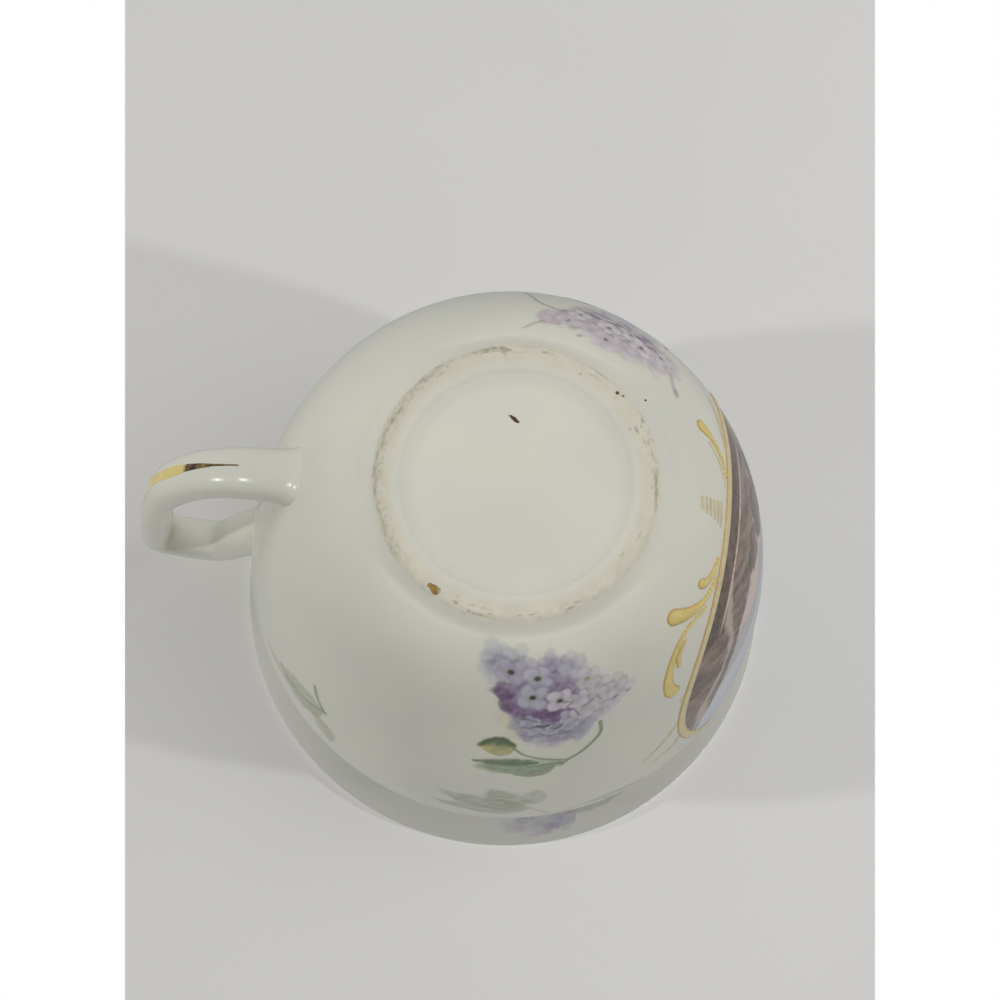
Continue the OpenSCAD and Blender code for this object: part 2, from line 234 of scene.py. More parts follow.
def sheet_faces(rows, across, start=0, flip=False):
    """Faces of a closed sheet: rows of points above, as many below them and a wall round the border.
    flip is for rows that run the other way."""
    faces, under = [], rows * across
    for i in range(rows - 1):
        for j in range(across - 1):
            a, b = start + i * across + j, start + (i + 1) * across + j
            faces += [(a, a + 1, b + 1, b), (under + a, under + b, under + b + 1, under + a + 1)]
    border = list(range(across)) + [i * across + across - 1 for i in range(1, rows)]
    border += [(rows - 1) * across + j for j in range(across - 2, -1, -1)]
    border += [i * across for i in range(rows - 2, 0, -1)]
    border = [start + k for k in border]
    faces += [(b, a, under + a, under + b) for a, b in zip(border, border[1:] + border[:1])]
    return [(f[0], f[3], f[2], f[1]) for f in faces] if flip else faces


def revolve(profile, count):
    """Points and faces of a profile turned about the axis. A closed profile runs against the clock
    in radius and height; one that starts and ends on the axis is capped there."""
    profile = np.asarray(profile, float)
    on_axis = profile[0, 0] < 1e-9
    rows = profile[1:-1] if on_axis else profile
    a = np.linspace(0, 2 * math.pi, count, endpoint=False)
    points = np.concatenate([np.c_[r * np.cos(a), r * np.sin(a), np.full(count, z)] for r, z in rows])
    faces = ring_faces(len(rows), count, not on_axis)
    if on_axis:
        faces += cap_faces(len(rows), count, len(points))
        points = np.vstack([points, [[0, 0, profile[0, 1]], [0, 0, profile[-1, 1]]]])
    return points, faces


# Materials


class Nodes:
    """Short calls to build the nodes of a material or of the world."""

    def __init__(self, owner, output="ShaderNodeOutputMaterial"):
        owner.use_nodes = True
        self.owner, self.tree = owner, owner.node_tree
        self.tree.nodes.clear()
        self.output = self.tree.nodes.new(output)

    def add(self, kind, settings=None, **inputs):
        node = self.tree.nodes.new(kind)
        for key, value in (settings or {}).items():
            setattr(node, key, value)
        for key, value in inputs.items():
            self.set(node, key.replace("_", " "), value)
        return node

    def set(self, node, key, value):
        socket = node.inputs[int(key) if key.isdigit() else key]
        if isinstance(value, bpy.types.NodeSocket):
            self.tree.links.new(value, socket)
        else:
            socket.default_value = value

    def place(self):
        return self.add("ShaderNodeTexCoord").outputs["Object"]

    def paint(self):
        """The colour and the cover that set_paint stores."""
        return self.add("ShaderNodeVertexColor", {"layer_name": "paint"}).outputs

    def noise(self, scale, detail, rough=0.55):
        inputs = {"Vector": self.place(), "Scale": scale, "Detail": detail, "Roughness": rough}
        return self.add("ShaderNodeTexNoise", **inputs).outputs["Fac"]

    def length(self, vector):
        node = self.add("ShaderNodeVectorMath", {"operation": "LENGTH"})
        self.set(node, "0", vector)
        return node.outputs["Value"]

    def span(self, value, start, end, low=0.0, high=1.0):
        node = self.add("ShaderNodeMapRange", {"clamp": True}, Value=value)
        for key, number in zip(("From Min", "From Max", "To Min", "To Max"), (start, end, low, high)):
            node.inputs[key].default_value = number
        return node.outputs["Result"]

    def math(self, operation, a, b):
        node = self.add("ShaderNodeMath", {"operation": operation})
        self.set(node, "0", a)
        self.set(node, "1", b)
        return node.outputs[0]

    def mix(self, fac, a, b):
        node = self.add("ShaderNodeMix", {"data_type": "RGBA"})
        for index, value in ((0, fac), (6, a), (7, b)):
            self.set(node, str(index), value if not isinstance(value, np.ndarray) else (*value, 1))
        return node.outputs[2]

    def bump(self, height, distance, strength):
        node = self.add("ShaderNodeBump", Height=height, Distance=distance, Strength=strength)
        return node.outputs["Normal"]

    def finish(self, shader):
        self.tree.links.new(shader, self.output.inputs["Surface"])
        return self.owner


# Heights in metres where the bowl's white turns into the rim's painted shade, a darker and cooler white
RIM_SHADE_HEIGHTS = (0.066, 0.071)
# Brown flecks fired into the glaze, one on the base and a speck beside the foot: place, turn and half sizes
FLECKS = [
    ((1.42, 9.86, 1.0), math.radians(34.6), (1.08, 0.34, 0.6)),
    ((-18.4, 15.75, 2.0), 0.0, (0.24, 0.24, 2.0)),
]


def glaze_colour(n):
    """Porcelain under clear glaze: slow drifts from warm to cool white, a painted shade that darkens it
    towards the rim, and a few iron specks.
    """
    drift_and_rim_shade = n.mix(n.span(n.noise(38, 2), 0.38, 0.64), PORCELAIN, PORCELAIN_COOL)
    height = n.add("ShaderNodeSeparateXYZ", Vector=n.place()).outputs["Z"]
    # Painted shade: the white turns darker and cooler towards the rim
    drift_and_rim_shade = n.mix(n.span(height, *RIM_SHADE_HEIGHTS), drift_and_rim_shade, PORCELAIN_RIM_SHADE)
    specks = n.add("ShaderNodeTexVoronoi", Vector=n.place(), Scale=210.0, Randomness=1.0)
    dots = n.span(specks.outputs["Distance"], 0.055, 0.03)
    rare = n.math("MULTIPLY", dots, n.span(n.noise(170, 1), 0.64, 0.68))
    specked = n.mix(n.math("MULTIPLY", rare, 0.55), drift_and_rim_shade, IRON_SPECK)
    rough = n.span(n.noise(2400, 2), 0.3, 0.7, -0.25, 0.25)
    for place, turn, half in FLECKS:
        near = n.add("ShaderNodeMapping", {"vector_type": "TEXTURE"}, Vector=n.place())
        near.inputs["Location"].default_value = [v * MM for v in place]
        near.inputs["Rotation"].default_value = (0, 0, turn)
        near.inputs["Scale"].default_value = [v * MM for v in half]
        ragged = n.math("ADD", n.length(near.outputs["Vector"]), rough)
        specked = n.mix(n.span(ragged, 1.05, 0.8), specked, FLECK)
    return specked


def glaze_shader(n, colour):
    """Clear glaze over a colour, with a faint ripple and an uneven shine."""
    ripple = n.bump(n.noise(120, 2), 0.00006, 0.6)
    return n.add(
        "ShaderNodeBsdfPrincipled",
        Base_Color=colour,
        Roughness=n.span(n.noise(90, 3), 0.3, 0.7, 0.13, 0.22),
        IOR=1.5,
        Normal=ripple,
    ).outputs["BSDF"]


def porcelain_material():
    n = Nodes(bpy.data.materials.new("porcelain_glaze"))
    return n.finish(glaze_shader(n, glaze_colour(n)))


def print_material():
    """A fired print: its painted colour sinks into the same glaze by its cover."""
    n = Nodes(bpy.data.materials.new("fired_print"))
    paint = n.paint()
    grain = n.span(n.noise(900, 2), 0.3, 0.7, 0.88, 1.0)
    cover = n.math("MULTIPLY", paint["Alpha"], grain)
    return n.finish(glaze_shader(n, n.mix(cover, glaze_colour(n), paint["Color"])))


def gold_material():
    """Burnished gold over the glaze, rubbed through in places; a low cover is plain brown line, or the
    painted dark reflection at the start of the handle's stripe.
    """
    n = Nodes(bpy.data.materials.new("worn_gilding"))
    paint = n.paint()
    rubbed = n.math("MULTIPLY", n.span(n.noise(260, 5, 0.7), 0.60, 0.72), 0.75)
    stain = n.mix(n.span(n.noise(700, 3), 0.4, 0.75, 0.0, 0.35), paint["Color"], GOLD_DEEP)
    metal = n.math("MULTIPLY", paint["Alpha"], 0.3)
    metal = n.math("MULTIPLY", metal, n.math("SUBTRACT", 1.0, rubbed))
    shader = n.add(
        "ShaderNodeBsdfPrincipled",
        Base_Color=n.mix(rubbed, stain, PORCELAIN),
        Metallic=metal,
        Roughness=n.span(n.noise(500, 3), 0.3, 0.7, 0.24, 0.40),
        Normal=n.bump(n.noise(650, 3), 0.00004, 0.5),
    )
    return n.finish(shader.outputs["BSDF"])


# Distances from the axis, in metres, between which the foot turns to bare clay and back to glaze
BARE_FROM, BARE_TO = (0.0182, 0.0196), (0.0223, 0.0218)


def biscuit_material():
    """The foot: glazed up its inner slope, bare clay with dirt where the paint says on the resting face."""
    n = Nodes(bpy.data.materials.new("biscuit"))
    paint = n.paint()
    flat = n.add("ShaderNodeVectorMath", {"operation": "MULTIPLY"})
    n.set(flat, "0", n.place())
    n.set(flat, "1", (1, 1, 0))
    radius = n.length(flat.outputs["Vector"])
    bare = n.math("MULTIPLY", n.span(radius, *BARE_FROM), n.span(radius, *BARE_TO))
    clay = n.mix(n.span(n.noise(300, 4), 0.35, 0.65), CLAY, CLAY_DARK)
    grain = n.noise(2600, 3)
    shader = n.add(
        "ShaderNodeBsdfPrincipled",
        Base_Color=n.mix(paint["Alpha"], n.mix(bare, glaze_colour(n), clay), paint["Color"]),
        Roughness=n.math("ADD", n.span(grain, 0.3, 0.7, 0.14, 0.26), n.math("MULTIPLY", bare, 0.5)),
        Normal=n.bump(grain, 0.00003, 0.4),
    )
    return n.finish(shader.outputs["BSDF"])


GLAZE = porcelain_material()
PRINT = print_material()
GILT = gold_material()
BISCUIT = biscuit_material()

# The bowl, the foot ring and the handle

TURNS, FOOT_TURNS = 256, 880
# The foot's flank: where it leaves the resting face and where it meets the bowl. Ring and body share it
# at the seam, where each runs a little under the other
FLANK = (20.8, 24.3)
FLANK_SEAM, SEAM_LAP = 22.9, 0.04


def flank_height(r):
    """Height of the flank at a distance from the axis."""
    return np.interp(FLANK[1], *OUTER[:BOWL_POINTS].T) * smooth(*FLANK, r)


def make_body():
    lip_turns = np.linspace(LIP_SLOPE - math.pi / 2, LIP_SLOPE + math.pi / 2, 16)[1:-1]
    lip = LIP_CENTRE + LIP_T / 2 * np.c_[np.cos(lip_turns), np.sin(lip_turns)]
    base_r = np.linspace(0, FLANK_SEAM - 0.6, 12)
    flank_r = np.r_[FLANK_SEAM - 0.25, np.linspace(FLANK_SEAM, FLANK[1], 9)]
    flank = np.c_[flank_r, flank_height(flank_r) + SEAM_LAP * (flank_r < FLANK_SEAM)]
    profile = np.vstack([
        np.c_[base_r, np.full(12, FOOT_H)], flank,
        OUTER[OUTER[:, 0] > FLANK[1] + 0.1], lip, INNER[::-1],
        np.c_[np.linspace(INNER[0, 0], 0, 12)[1:], np.full(11, FLOOR_Z)],
    ])
    points, faces = revolve(profile, TURNS)
    piece("cup_body_glazed", points, faces, ["cup_body"], GLAZE, 50)


# Dirt on the resting face: turn, distance from the axis, length along the ring, width, strength
STAINS = [
    (49.4, 21.7, 2.6, 0.30, 0.8), (42.4, 21.4, 2.2, 0.45, 0.6), (34.5, 21.1, 2.6, 0.5, 0.5),
    (25.0, 20.9, 2.4, 0.6, 0.7), (19.5, 21.1, 2.0, 0.7, 0.8), (14.0, 21.3, 2.4, 0.5, 0.6),
    (8.4, 21.1, 3.0, 0.6, 0.6), (3.1, 21.5, 2.6, 0.5, 0.7), (356.9, 21.6, 2.8, 0.6, 0.8),
    (348.6, 21.5, 2.6, 0.5, 0.8), (341.0, 21.4, 2.0, 0.4, 0.6), (332.5, 21.3, 1.8, 0.45, 0.6),
    (326.5, 21.0, 1.2, 0.4, 0.5), (315.6, 21.0, 1.0, 0.3, 0.4), (66.1, 21.4, 1.5, 0.35, 0.7),
    (73.4, 20.9, 2.4, 0.25, 0.7), (78.5, 20.6, 1.6, 0.25, 0.5), (95.5, 21.0, 1.1, 0.5, 0.7),
    (98.6, 21.0, 0.8, 0.3, 0.6), (113.6, 19.7, 0.5, 0.7, 0.7), (120.5, 20.7, 1.6, 0.25, 0.4),
    (149.8, 20.1, 1.3, 0.5, 0.7), (148.1, 19.2, 0.5, 0.5, 0.6), (156.0, 20.5, 1.4, 0.3, 0.5),
    (162.2, 21.1, 1.6, 0.4, 0.5), (173.0, 21.2, 3.0, 0.45, 0.8), (179.4, 21.3, 2.4, 0.5, 0.8),
    (184.4, 21.5, 2.0, 0.3, 0.7), (198.0, 20.4, 1.6, 0.5, 0.4), (209.4, 19.6, 1.0, 0.4, 0.4),
    (237.5, 20.9, 1.2, 0.35, 0.6), (241.5, 21.3, 1.4, 0.3, 0.7), (257.1, 20.9, 1.2, 0.3, 0.6),
    (262.0, 20.9, 1.0, 0.3, 0.6), (274.2, 21.1, 0.9, 0.3, 0.7), (278.3, 21.5, 0.6, 0.35, 0.9),
    (282.8, 21.5, 0.5, 0.45, 0.9),
]
BLACK_SPECKS = [(131.3, 20.9, 0.42), (133.9, 21.3, 0.28)]
OCHRE_BLOT = (299.6, 20.9)
# The turn that the handle's side of the foot lies about, and the faint step of the inner slope
HANDLE_SIDE, STEP_R = 8, 17.7


def turn_from(a, turn):
    """Degrees on from a turn, between -180 and 180."""
    return (a - turn + 180) % 360 - 180


def make_foot():
    """A ring whose outer edge runs softly into the bowl, and whose long inner slope runs into the base
    over a faint step."""
    slope_r = FOOT_R - FOOT_EDGE - FOOT_FLAT_W - FOOT_SLOPE_W
    flat_r = FOOT_R - FOOT_EDGE - FOOT_FLAT_W + 0.5
    slope = np.linspace(slope_r, flat_r, 30)
    rise = 0.10 * smooth(STEP_R + 0.35, STEP_R - 0.35, slope) + 0.90 * smooth(flat_r, slope_r, slope)
    slope = np.c_[slope, FOOT_H * rise]
    flat = np.c_[np.linspace(flat_r, FLANK[0], 18)[1:-1], np.zeros(16)]
    flank_r = np.r_[np.linspace(FLANK[0], FLANK_SEAM, 16), FLANK_SEAM + 0.2]
    outer = np.c_[flank_r, flank_height(flank_r) + SEAM_LAP * (flank_r > FLANK_SEAM)]
    inside = [[FOOT_R + 0.5, outer[-1, 1] + 0.1], [FOOT_R - 0.3, outer[-1, 1] + 0.05]]
    top = np.c_[np.linspace(FOOT_R, slope_r, 5)[1:-1], np.full(3, FOOT_H)]
    points, faces = revolve(np.vstack([slope, flat, outer, inside, top]), FOOT_TURNS)
    ring = piece("foot_ring_ground", points, faces, ["foot_ring"], BISCUIT, 50)
    r, a = np.hypot(points[:, 0], points[:, 1]), np.degrees(np.arctan2(points[:, 1], points[:, 0])) % 360
    angle = np.radians(a)
    along = angle * flat_r
    patch = smooth(0.45, 0.7, cloud(np.cos(angle) * 22 + 40, np.sin(angle) * 22 + 40, 9, 8))
    dirt = (0.12 + 0.45 * patch) * smooth(0.5, 0.8, cloud(along * 0.6, r, 0.5, 5)) * smooth(19.4, 21.2, r)
    handle_side = smooth(75, 35, np.abs(turn_from(a, HANDLE_SIDE)))
    speckle = 0.3 + 0.7 * smooth(0.5, 0.72, cloud(along * 0.7, r, 0.36, 6))
    dirt = np.maximum(dirt, 0.36 * handle_side * smooth(19.2, 21.2, r) * speckle)
    fine = cloud(along, r, 0.34, 9)
    for turn, radius, length, width, strength in STAINS:
        x = np.radians(turn_from(a, turn)) * r
        ragged = np.hypot(x / (length / 2), (r - radius) / (width / 2)) + 1.5 * (fine - 0.5)
        dirt = np.maximum(dirt, strength * smooth(1.5, 0.2, ragged) * (0.4 + 0.6 * fine))
    dirt *= smooth(22.4, 21.4, r)
    black = np.zeros(len(points))
    for turn, radius, size in BLACK_SPECKS:
        x = np.radians(turn_from(a, turn)) * r
        black = np.maximum(black, smooth(size, 0.5 * size, np.hypot(x, r - radius) + 0.25 * (fine - 0.5)))
    colour = DIRT * (1 - black[:, None]) + BLACK * black[:, None]
    dirt = np.maximum(dirt, black)
    x = np.radians(turn_from(a, OCHRE_BLOT[0])) * r
    ragged = np.hypot(x / 1.0, (r - OCHRE_BLOT[1]) / 0.62) + 1.1 * (cloud(along, r, 0.8, 3) - 0.5)
    blot = smooth(1.12, 0.84, ragged)[:, None]
    tone = cloud(along, r, 0.5, 13)[:, None]
    colour = colour * (1 - blot) + (OCHRE_DARK * (1 - tone) + OCHRE * tone) * blot
    set_paint(ring, colour, np.clip(np.maximum(dirt, blot[:, 0]), 0, 0.95))


# The handle's path: shares of the way out from the bowl and up between the arms
PATH_SHARES = np.array([
    (-1, -0.05), (-0.56, -0.042), (-0.12, -0.02), (0.25, 0.06), (0.60, 0.25), (0.81, 0.50),
    (0.92, 0.73), (1, 0.93), (0.79, 1), (0.41, 0.99), (0.125, 0.83), (-0.36, 0.6),
])
HANDLE_OUT, HANDLE_LOW_Z, HANDLE_RISE = 19.3, 16.0, 49.3
HANDLE_LOW_W, HANDLE_TOP_W, HANDLE_T, HANDLE_ROOT = 8.3, 7.2, 5.4, 3.0
STRAP_SQUARENESS = 2.6
# How much the strap swells at the wall, and how far out from it
FILLET, FILLET_REACH = 0.4, 1.8
HANDLE_PATH = np.c_[BULGE_R + PATH_SHARES[:, 0] * HANDLE_OUT, HANDLE_LOW_Z + PATH_SHARES[:, 1] * HANDLE_RISE]
PATH_LAST = len(HANDLE_PATH) - 1


def catmull(path, u):
    """Smooth curve through the rows of path, at u from 0 to the number of spans."""
    path, u = np.asarray(path, float), np.atleast_1d(np.asarray(u, float))
    last = len(path) - 1
    i = np.minimum(u.astype(int), last - 1)
    t = (u - i)[:, None]
    a, b, c, d = (path[np.clip(i + k, 0, last)] for k in (-1, 0, 1, 2))
    return b + t * (c - a) / 2 + t**2 * (a - 2.5 * b + 2 * c - d / 2) + t**3 * (3 * b - a - 3 * c + d) / 2


def fillet_share(points):
    """The round between strap and bowl: 1 at the wall, falling to 0 as far out as the fillet reaches."""
    s = length_at(points[:, 2])
    clear = (np.hypot(points[:, 0], points[:, 1]) - wall_radius(s)) * wall_out(s)[0]
    return 1 - np.sqrt(1 - (1 - np.clip(clear / FILLET_REACH, 0, 1)) ** 2)


def handle_section(u, turns, lift=0.0):
    """Points of the strap's section at u, at turns measured from its outer crest."""
    p = catmull(HANDLE_PATH, u)[0]
    way = catmull(HANDLE_PATH, min(u + 0.05, PATH_LAST))[0] - catmull(HANDLE_PATH, max(u - 0.05, 0))[0]
    way /= np.linalg.norm(way)
    out = np.array([way[1], -way[0]])
    swell = HANDLE_ROOT * abs(2 * u / PATH_LAST - 1) ** 6
    half_w = (HANDLE_LOW_W + (HANDLE_TOP_W - HANDLE_LOW_W) * u / PATH_LAST + swell) / 2 + lift
    half_t = (HANDLE_T + swell) / 2 + lift
    power = 2 / STRAP_SQUARENESS
    x, y = (np.sign(v) * np.abs(v) ** power for v in (np.cos(turns), np.sin(turns)))
    grow = 0.0
    for _ in range(2):
        q = p + out * ((half_t + grow) * x)[:, None]
        points = np.c_[q[:, 0], (half_w + grow) * y, q[:, 1]]
        grow = FILLET * fillet_share(points)
    return points


# How deep the handle's two ends lie in the wall
ROOT_DEPTH = 1.2


def seat_on_wall(points):
    """Moves points that lie deep inside the bowl's wall out to a shallow depth in it."""
    r = np.hypot(points[:, 0], points[:, 1])
    s = length_at(points[:, 2])
    out_r, out_z = wall_out(s)
    deep = np.clip((wall_radius(s) - r) * out_r - ROOT_DEPTH, 0, None)
    scale = (r + deep * out_r) / np.maximum(r, 1e-6)
    moved = points.copy()
    moved[:, :2] *= scale[:, None]
    moved[:, 2] += deep * out_z
    return moved


def make_handle():
    sides, rings = 48, 20 * PATH_LAST
    turns = np.linspace(0, 2 * math.pi, sides, endpoint=False)
    points = np.concatenate([handle_section(u, turns) for u in np.linspace(0, PATH_LAST, rings + 1)])
    for _ in range(4):
        points = seat_on_wall(points)
    faces = ring_faces(rings + 1, sides, False) + cap_faces(rings + 1, sides, len(points))
    points = np.vstack([points, points[:sides].mean(0), points[-sides:].mean(0)])
    return piece("handle_glazed", points, faces, ["handle"], GLAZE, 70)


# The stripe on the handle: places along the path and half widths there; it starts as a dark tapering line, a
# painted reflection on the gold
STRIPE_AT = (1.95, 2.5, 2.75, 3.05, 3.35, 9.5, 9.8)
STRIPE_HALF_W = (0.09, 0.20, 0.48, 0.60, 0.95, 1.0, 0.35)
# Where its dark start, a painted reflection, ends, where the wear on the grip sets in, and how far aside it
# runs
STRIPE_DARK_TO = (3.17, 3.05)
STRIPE_WORN = (3.9, 4.5)
STRIPE_ASIDE = 0.45
STRIPE_SUNK = 0.15


def make_handle_stripe():
    rings, across = 170, 9
    span = np.linspace(STRIPE_AT[0], STRIPE_AT[-1], rings)
    lane = np.linspace(-1, 1, across)
    power = STRAP_SQUARENESS / 2
    ragged = 0.25 * (cloud(span * 6, 0 * span, 1.0, 21) - 0.5)
    top, low, colours, covers = [], [], [], []
    for u, half, wobble in zip(span, np.interp(span, STRIPE_AT, STRIPE_HALF_W), ragged):
        strap = (HANDLE_LOW_W + (HANDLE_TOP_W - HANDLE_LOW_W) * u / PATH_LAST) / 2
        aside = STRIPE_ASIDE * smooth(6.5, 4.5, u)
        y = (aside + lane * half * (1 + wobble)) / strap
        turns = np.arcsin(np.sign(y) * np.abs(y) ** power)
        crown = 0.02 + 0.08 * (1 - lane**2)
        top.append([handle_section(u, np.array([a]), c)[0] for a, c in zip(turns, crown)])
        low.append([handle_section(u, np.array([a]), -STRIPE_SUNK)[0] for a in turns])
        # The dark start is a painted reflection, laid as a dark colour under little gold
        dark = smooth(*STRIPE_DARK_TO, u)
        reflection_tone = STRIPE_REFLECTION_DARK * (0.7 + 0.9 * cloud(lane * 2, 0 * lane + 9 * u, 0.8, 22))[:, None]
        patches = cloud(lane * 1.5, 0 * lane + 5 * u, 1.0, 23)
        worn = 0.9 * smooth(0.35, 0.6, patches + 0.7 * float(smooth(*STRIPE_WORN, u)) - 0.35)
        worn = (worn * float(smooth(STRIPE_WORN[0] - 0.4, STRIPE_WORN[0], u)))[:, None]
        colours.append((GOLD * (1 - dark) + reflection_tone * dark) * (1 - worn) + PORCELAIN * worn)
        covers.append((1 - 0.8 * dark) * (1 - worn[:, 0]))
    points = np.concatenate([np.array(top).reshape(-1, 3), np.array(low).reshape(-1, 3)])
    faces = sheet_faces(rings, across)
    stripe = piece("handle_stripe", points, faces, ["handle_gilding"], GILT)
    set_paint(stripe, np.tile(np.array(colours).reshape(-1, 3), (2, 1)), np.tile(np.array(covers).ravel(), 2))


# The guard: a shallow dome across the drinker's half of the mouth, with rounded free edges

GUARD_Z, GUARD_T, GUARD_DOME_R, GUARD_WALL_R = 70.0, 3.0, 250.0, 41.4
# Cut off each end of the guard, where its two edges would meet in a point
GUARD_END = 0.05
EDGE_Y, NOSE_R, BAY_R = -8.0, 12.0, 11.0
BAY_X = math.sqrt(2 * NOSE_R * BAY_R + BAY_R**2)
NOSE_Y = EDGE_Y - NOSE_R
MOUTH_R, SIP_L, SIP_W = 40.8, 38.0, 10.8
SIP_END_Y = -math.sqrt(MOUTH_R**2 - SIP_L**2 / 4)
SIP_MID_Y = -(MOUTH_R - SIP_W)
SIP_Y = (SIP_L**2 / 4 + SIP_END_Y**2 - SIP_MID_Y**2) / (2 * (SIP_END_Y - SIP_MID_Y))
SIP_R = SIP_MID_Y - SIP_Y
EDGE_ROUND = 1.45
JOINT = np.array([0, NOSE_Y]) + NOSE_R * np.array([BAY_X, NOSE_R]) / math.hypot(BAY_X, NOSE_R)


def front_edge(x):
    """The free edge towards the mouth: a round nose between two bays, then straight to the wall."""
    x = np.abs(x)
    nose = NOSE_Y + np.sqrt(np.clip(NOSE_R**2 - x**2, 0, None))
    bay = EDGE_Y - np.sqrt(np.clip(BAY_R**2 - (x - BAY_X) ** 2, 0, None))
    return np.where(x < JOINT[0], nose, np.where(x < BAY_X + BAY_R, bay, EDGE_Y))


def back_edge(x):
    """The edge at the wall, and round the sip opening."""
    wall_y = -np.sqrt(np.clip(GUARD_WALL_R**2 - x**2, 0, None))
    sip_y = SIP_Y + np.sqrt(np.clip(SIP_R**2 - x**2, 0, None))
    return np.where(np.abs(x) < SIP_L / 2 + 0.6, np.maximum(wall_y, sip_y), wall_y)


def edge_distance(x, y):
    """Distance in from the nearest free edge of the guard."""
    a = np.abs(x)
    to_bay = np.hypot(a - BAY_X, y - EDGE_Y) - BAY_R
    to_nose = NOSE_R - np.hypot(x, y - NOSE_Y)
    beside_nose = (a * NOSE_R < (y - NOSE_Y) * BAY_X) & (y > NOSE_Y)
    beside_bay = np.where(a < BAY_X + BAY_R, to_bay, np.minimum(to_bay, EDGE_Y - y))
    front = np.where(beside_nose, to_nose, beside_bay)
    sip = np.hypot(x, y - SIP_Y) - SIP_R
    return np.clip(np.minimum(front, sip), 0, None)


def dome(x, y):
    """Height of the guard's upper face."""
    return GUARD_Z - GUARD_DOME_R + np.sqrt(GUARD_DOME_R**2 - x**2 - y**2)


def edge_drop(d):
    """How far a face falls away within the round of the edge, at a distance in from it."""
    inside = np.clip(EDGE_ROUND - d, 0, EDGE_ROUND)
    return EDGE_ROUND - np.sqrt(np.clip(EDGE_ROUND**2 - inside**2, 0, None))


def make_guard():
    end_x = math.sqrt(GUARD_WALL_R**2 - EDGE_Y**2) - GUARD_END
    stations = [0, JOINT[0], BAY_X, BAY_X + BAY_R, end_x]
    half = [0.0]
    for a, b in zip(stations, stations[1:]):
        half += list(a + (b - a) * (1 - np.cos(np.linspace(0, math.pi, 26))) / 2)[1:]
    half = np.unique(np.round(half + list(SIP_L / 2 + np.linspace(-0.8, 0.8, 7)), 4))
    xs = np.r_[-half[:0:-1], half]
    rows = (1 - np.cos(np.linspace(0, math.pi, 40))) / 2
    x = np.repeat(xs, len(rows))
    low, high = back_edge(xs), front_edge(xs)
    y = (low[:, None] + (high - low)[:, None] * rows).ravel()
    fall = edge_drop(edge_distance(x, y))
    top = np.c_[x, y, dome(x, y) - fall]
    under = np.c_[x, y, dome(x, y) - GUARD_T + fall]
    faces = sheet_faces(len(xs), len(rows), flip=True)
    piece("mustache_guard_glazed", np.vstack([top, under]), faces, ["mustache_guard"], GLAZE, 50)


def guard_edge_lines():
    """The two free edges as points with their inward directions."""
    nose_end = math.atan2(JOINT[1] - NOSE_Y, JOINT[0])
    bay_start = math.atan2(JOINT[1] - EDGE_Y, JOINT[0] - BAY_X)
    right = []
    for a in np.linspace(math.pi / 2, nose_end, 30):
        right.append((NOSE_R * math.cos(a), NOSE_Y + NOSE_R * math.sin(a), -math.cos(a), -math.sin(a)))
    for a in np.linspace(bay_start, 0, 50)[1:-6]:
        right.append((BAY_X + BAY_R * math.cos(a), EDGE_Y + BAY_R * math.sin(a), math.cos(a), math.sin(a)))
    left = [(-x, y, -nx, ny) for x, y, nx, ny in right[:0:-1]]
    half = math.asin(SIP_L / 2 / SIP_R) * 0.985
    sip = [
        (SIP_R * math.sin(a), SIP_Y + SIP_R * math.cos(a), math.sin(a), math.cos(a))
        for a in np.linspace(-half, half, 60)
    ]
    return [np.array(left + right), np.array(sip)]


# The gold lines: insets from the guard's edges, turns over the lip's crown, points across and depth below
GUARD_LINE, GUARD_LINE_POINTS = (0.25, 1.45), 7
RIM_LINE, RIM_LINE_POINTS = (75, 150), 14
LINE_SUNK = 0.12


def make_guard_gilding():
    points, faces = [], []
    across = GUARD_LINE_POINTS
    insets = np.linspace(*GUARD_LINE, across)
    crown = 0.02 + 0.16 * (1 - np.linspace(-1, 1, across) ** 2)
    for line in guard_edge_lines():
        faces += sheet_faces(len(line), across, len(points))
        for lift in (crown, np.full(across, -LINE_SUNK)):
            for px, py, nx, ny in line:
                x, y = px + nx * insets, py + ny * insets
                points += list(np.c_[x, y, dome(x, y) - edge_drop(insets) + lift])
    gilding = piece("guard_gold_line", points, faces, ["guard_gilding"], GILT)
    set_paint(gilding, GOLD, 1.0)


def make_rim_gilding():
    turns = np.radians(np.linspace(*RIM_LINE, RIM_LINE_POINTS))
    ray = np.c_[np.cos(turns), np.sin(turns)]
    crown = 0.03 + (GILT_T - 0.05) * (1 - np.linspace(-1, 1, RIM_LINE_POINTS) ** 2)
    over = LIP_CENTRE + ray * (LIP_T / 2 + crown)[:, None]
    under = LIP_CENTRE + ray[::-1] * (LIP_T / 2 - LINE_SUNK)
    points, faces = revolve(np.vstack([over, under]), TURNS)
    gilding = piece("rim_gold_line", points, faces, ["rim_gilding"], GILT)
    set_paint(gilding, GOLD, 1.0)


# Prints: a canvas is a grid of places on the wall, painted in layers and then cut to what is painted

# The least cover that a film keeps, and how deep its underside lies in the wall
LEAST_COVER, FILM_SUNK = 0.02, 0.06
# The sides of a cell of the grid: its neighbour there, and the corners where the side starts and stops
CELL_SIDES = (
    ((-1, 0), (0, 0), (0, 1)), ((0, 1), (0, 1), (1, 1)), ((1, 0), (1, 1), (1, 0)), ((0, -1), (1, 0), (0, 0)),
)


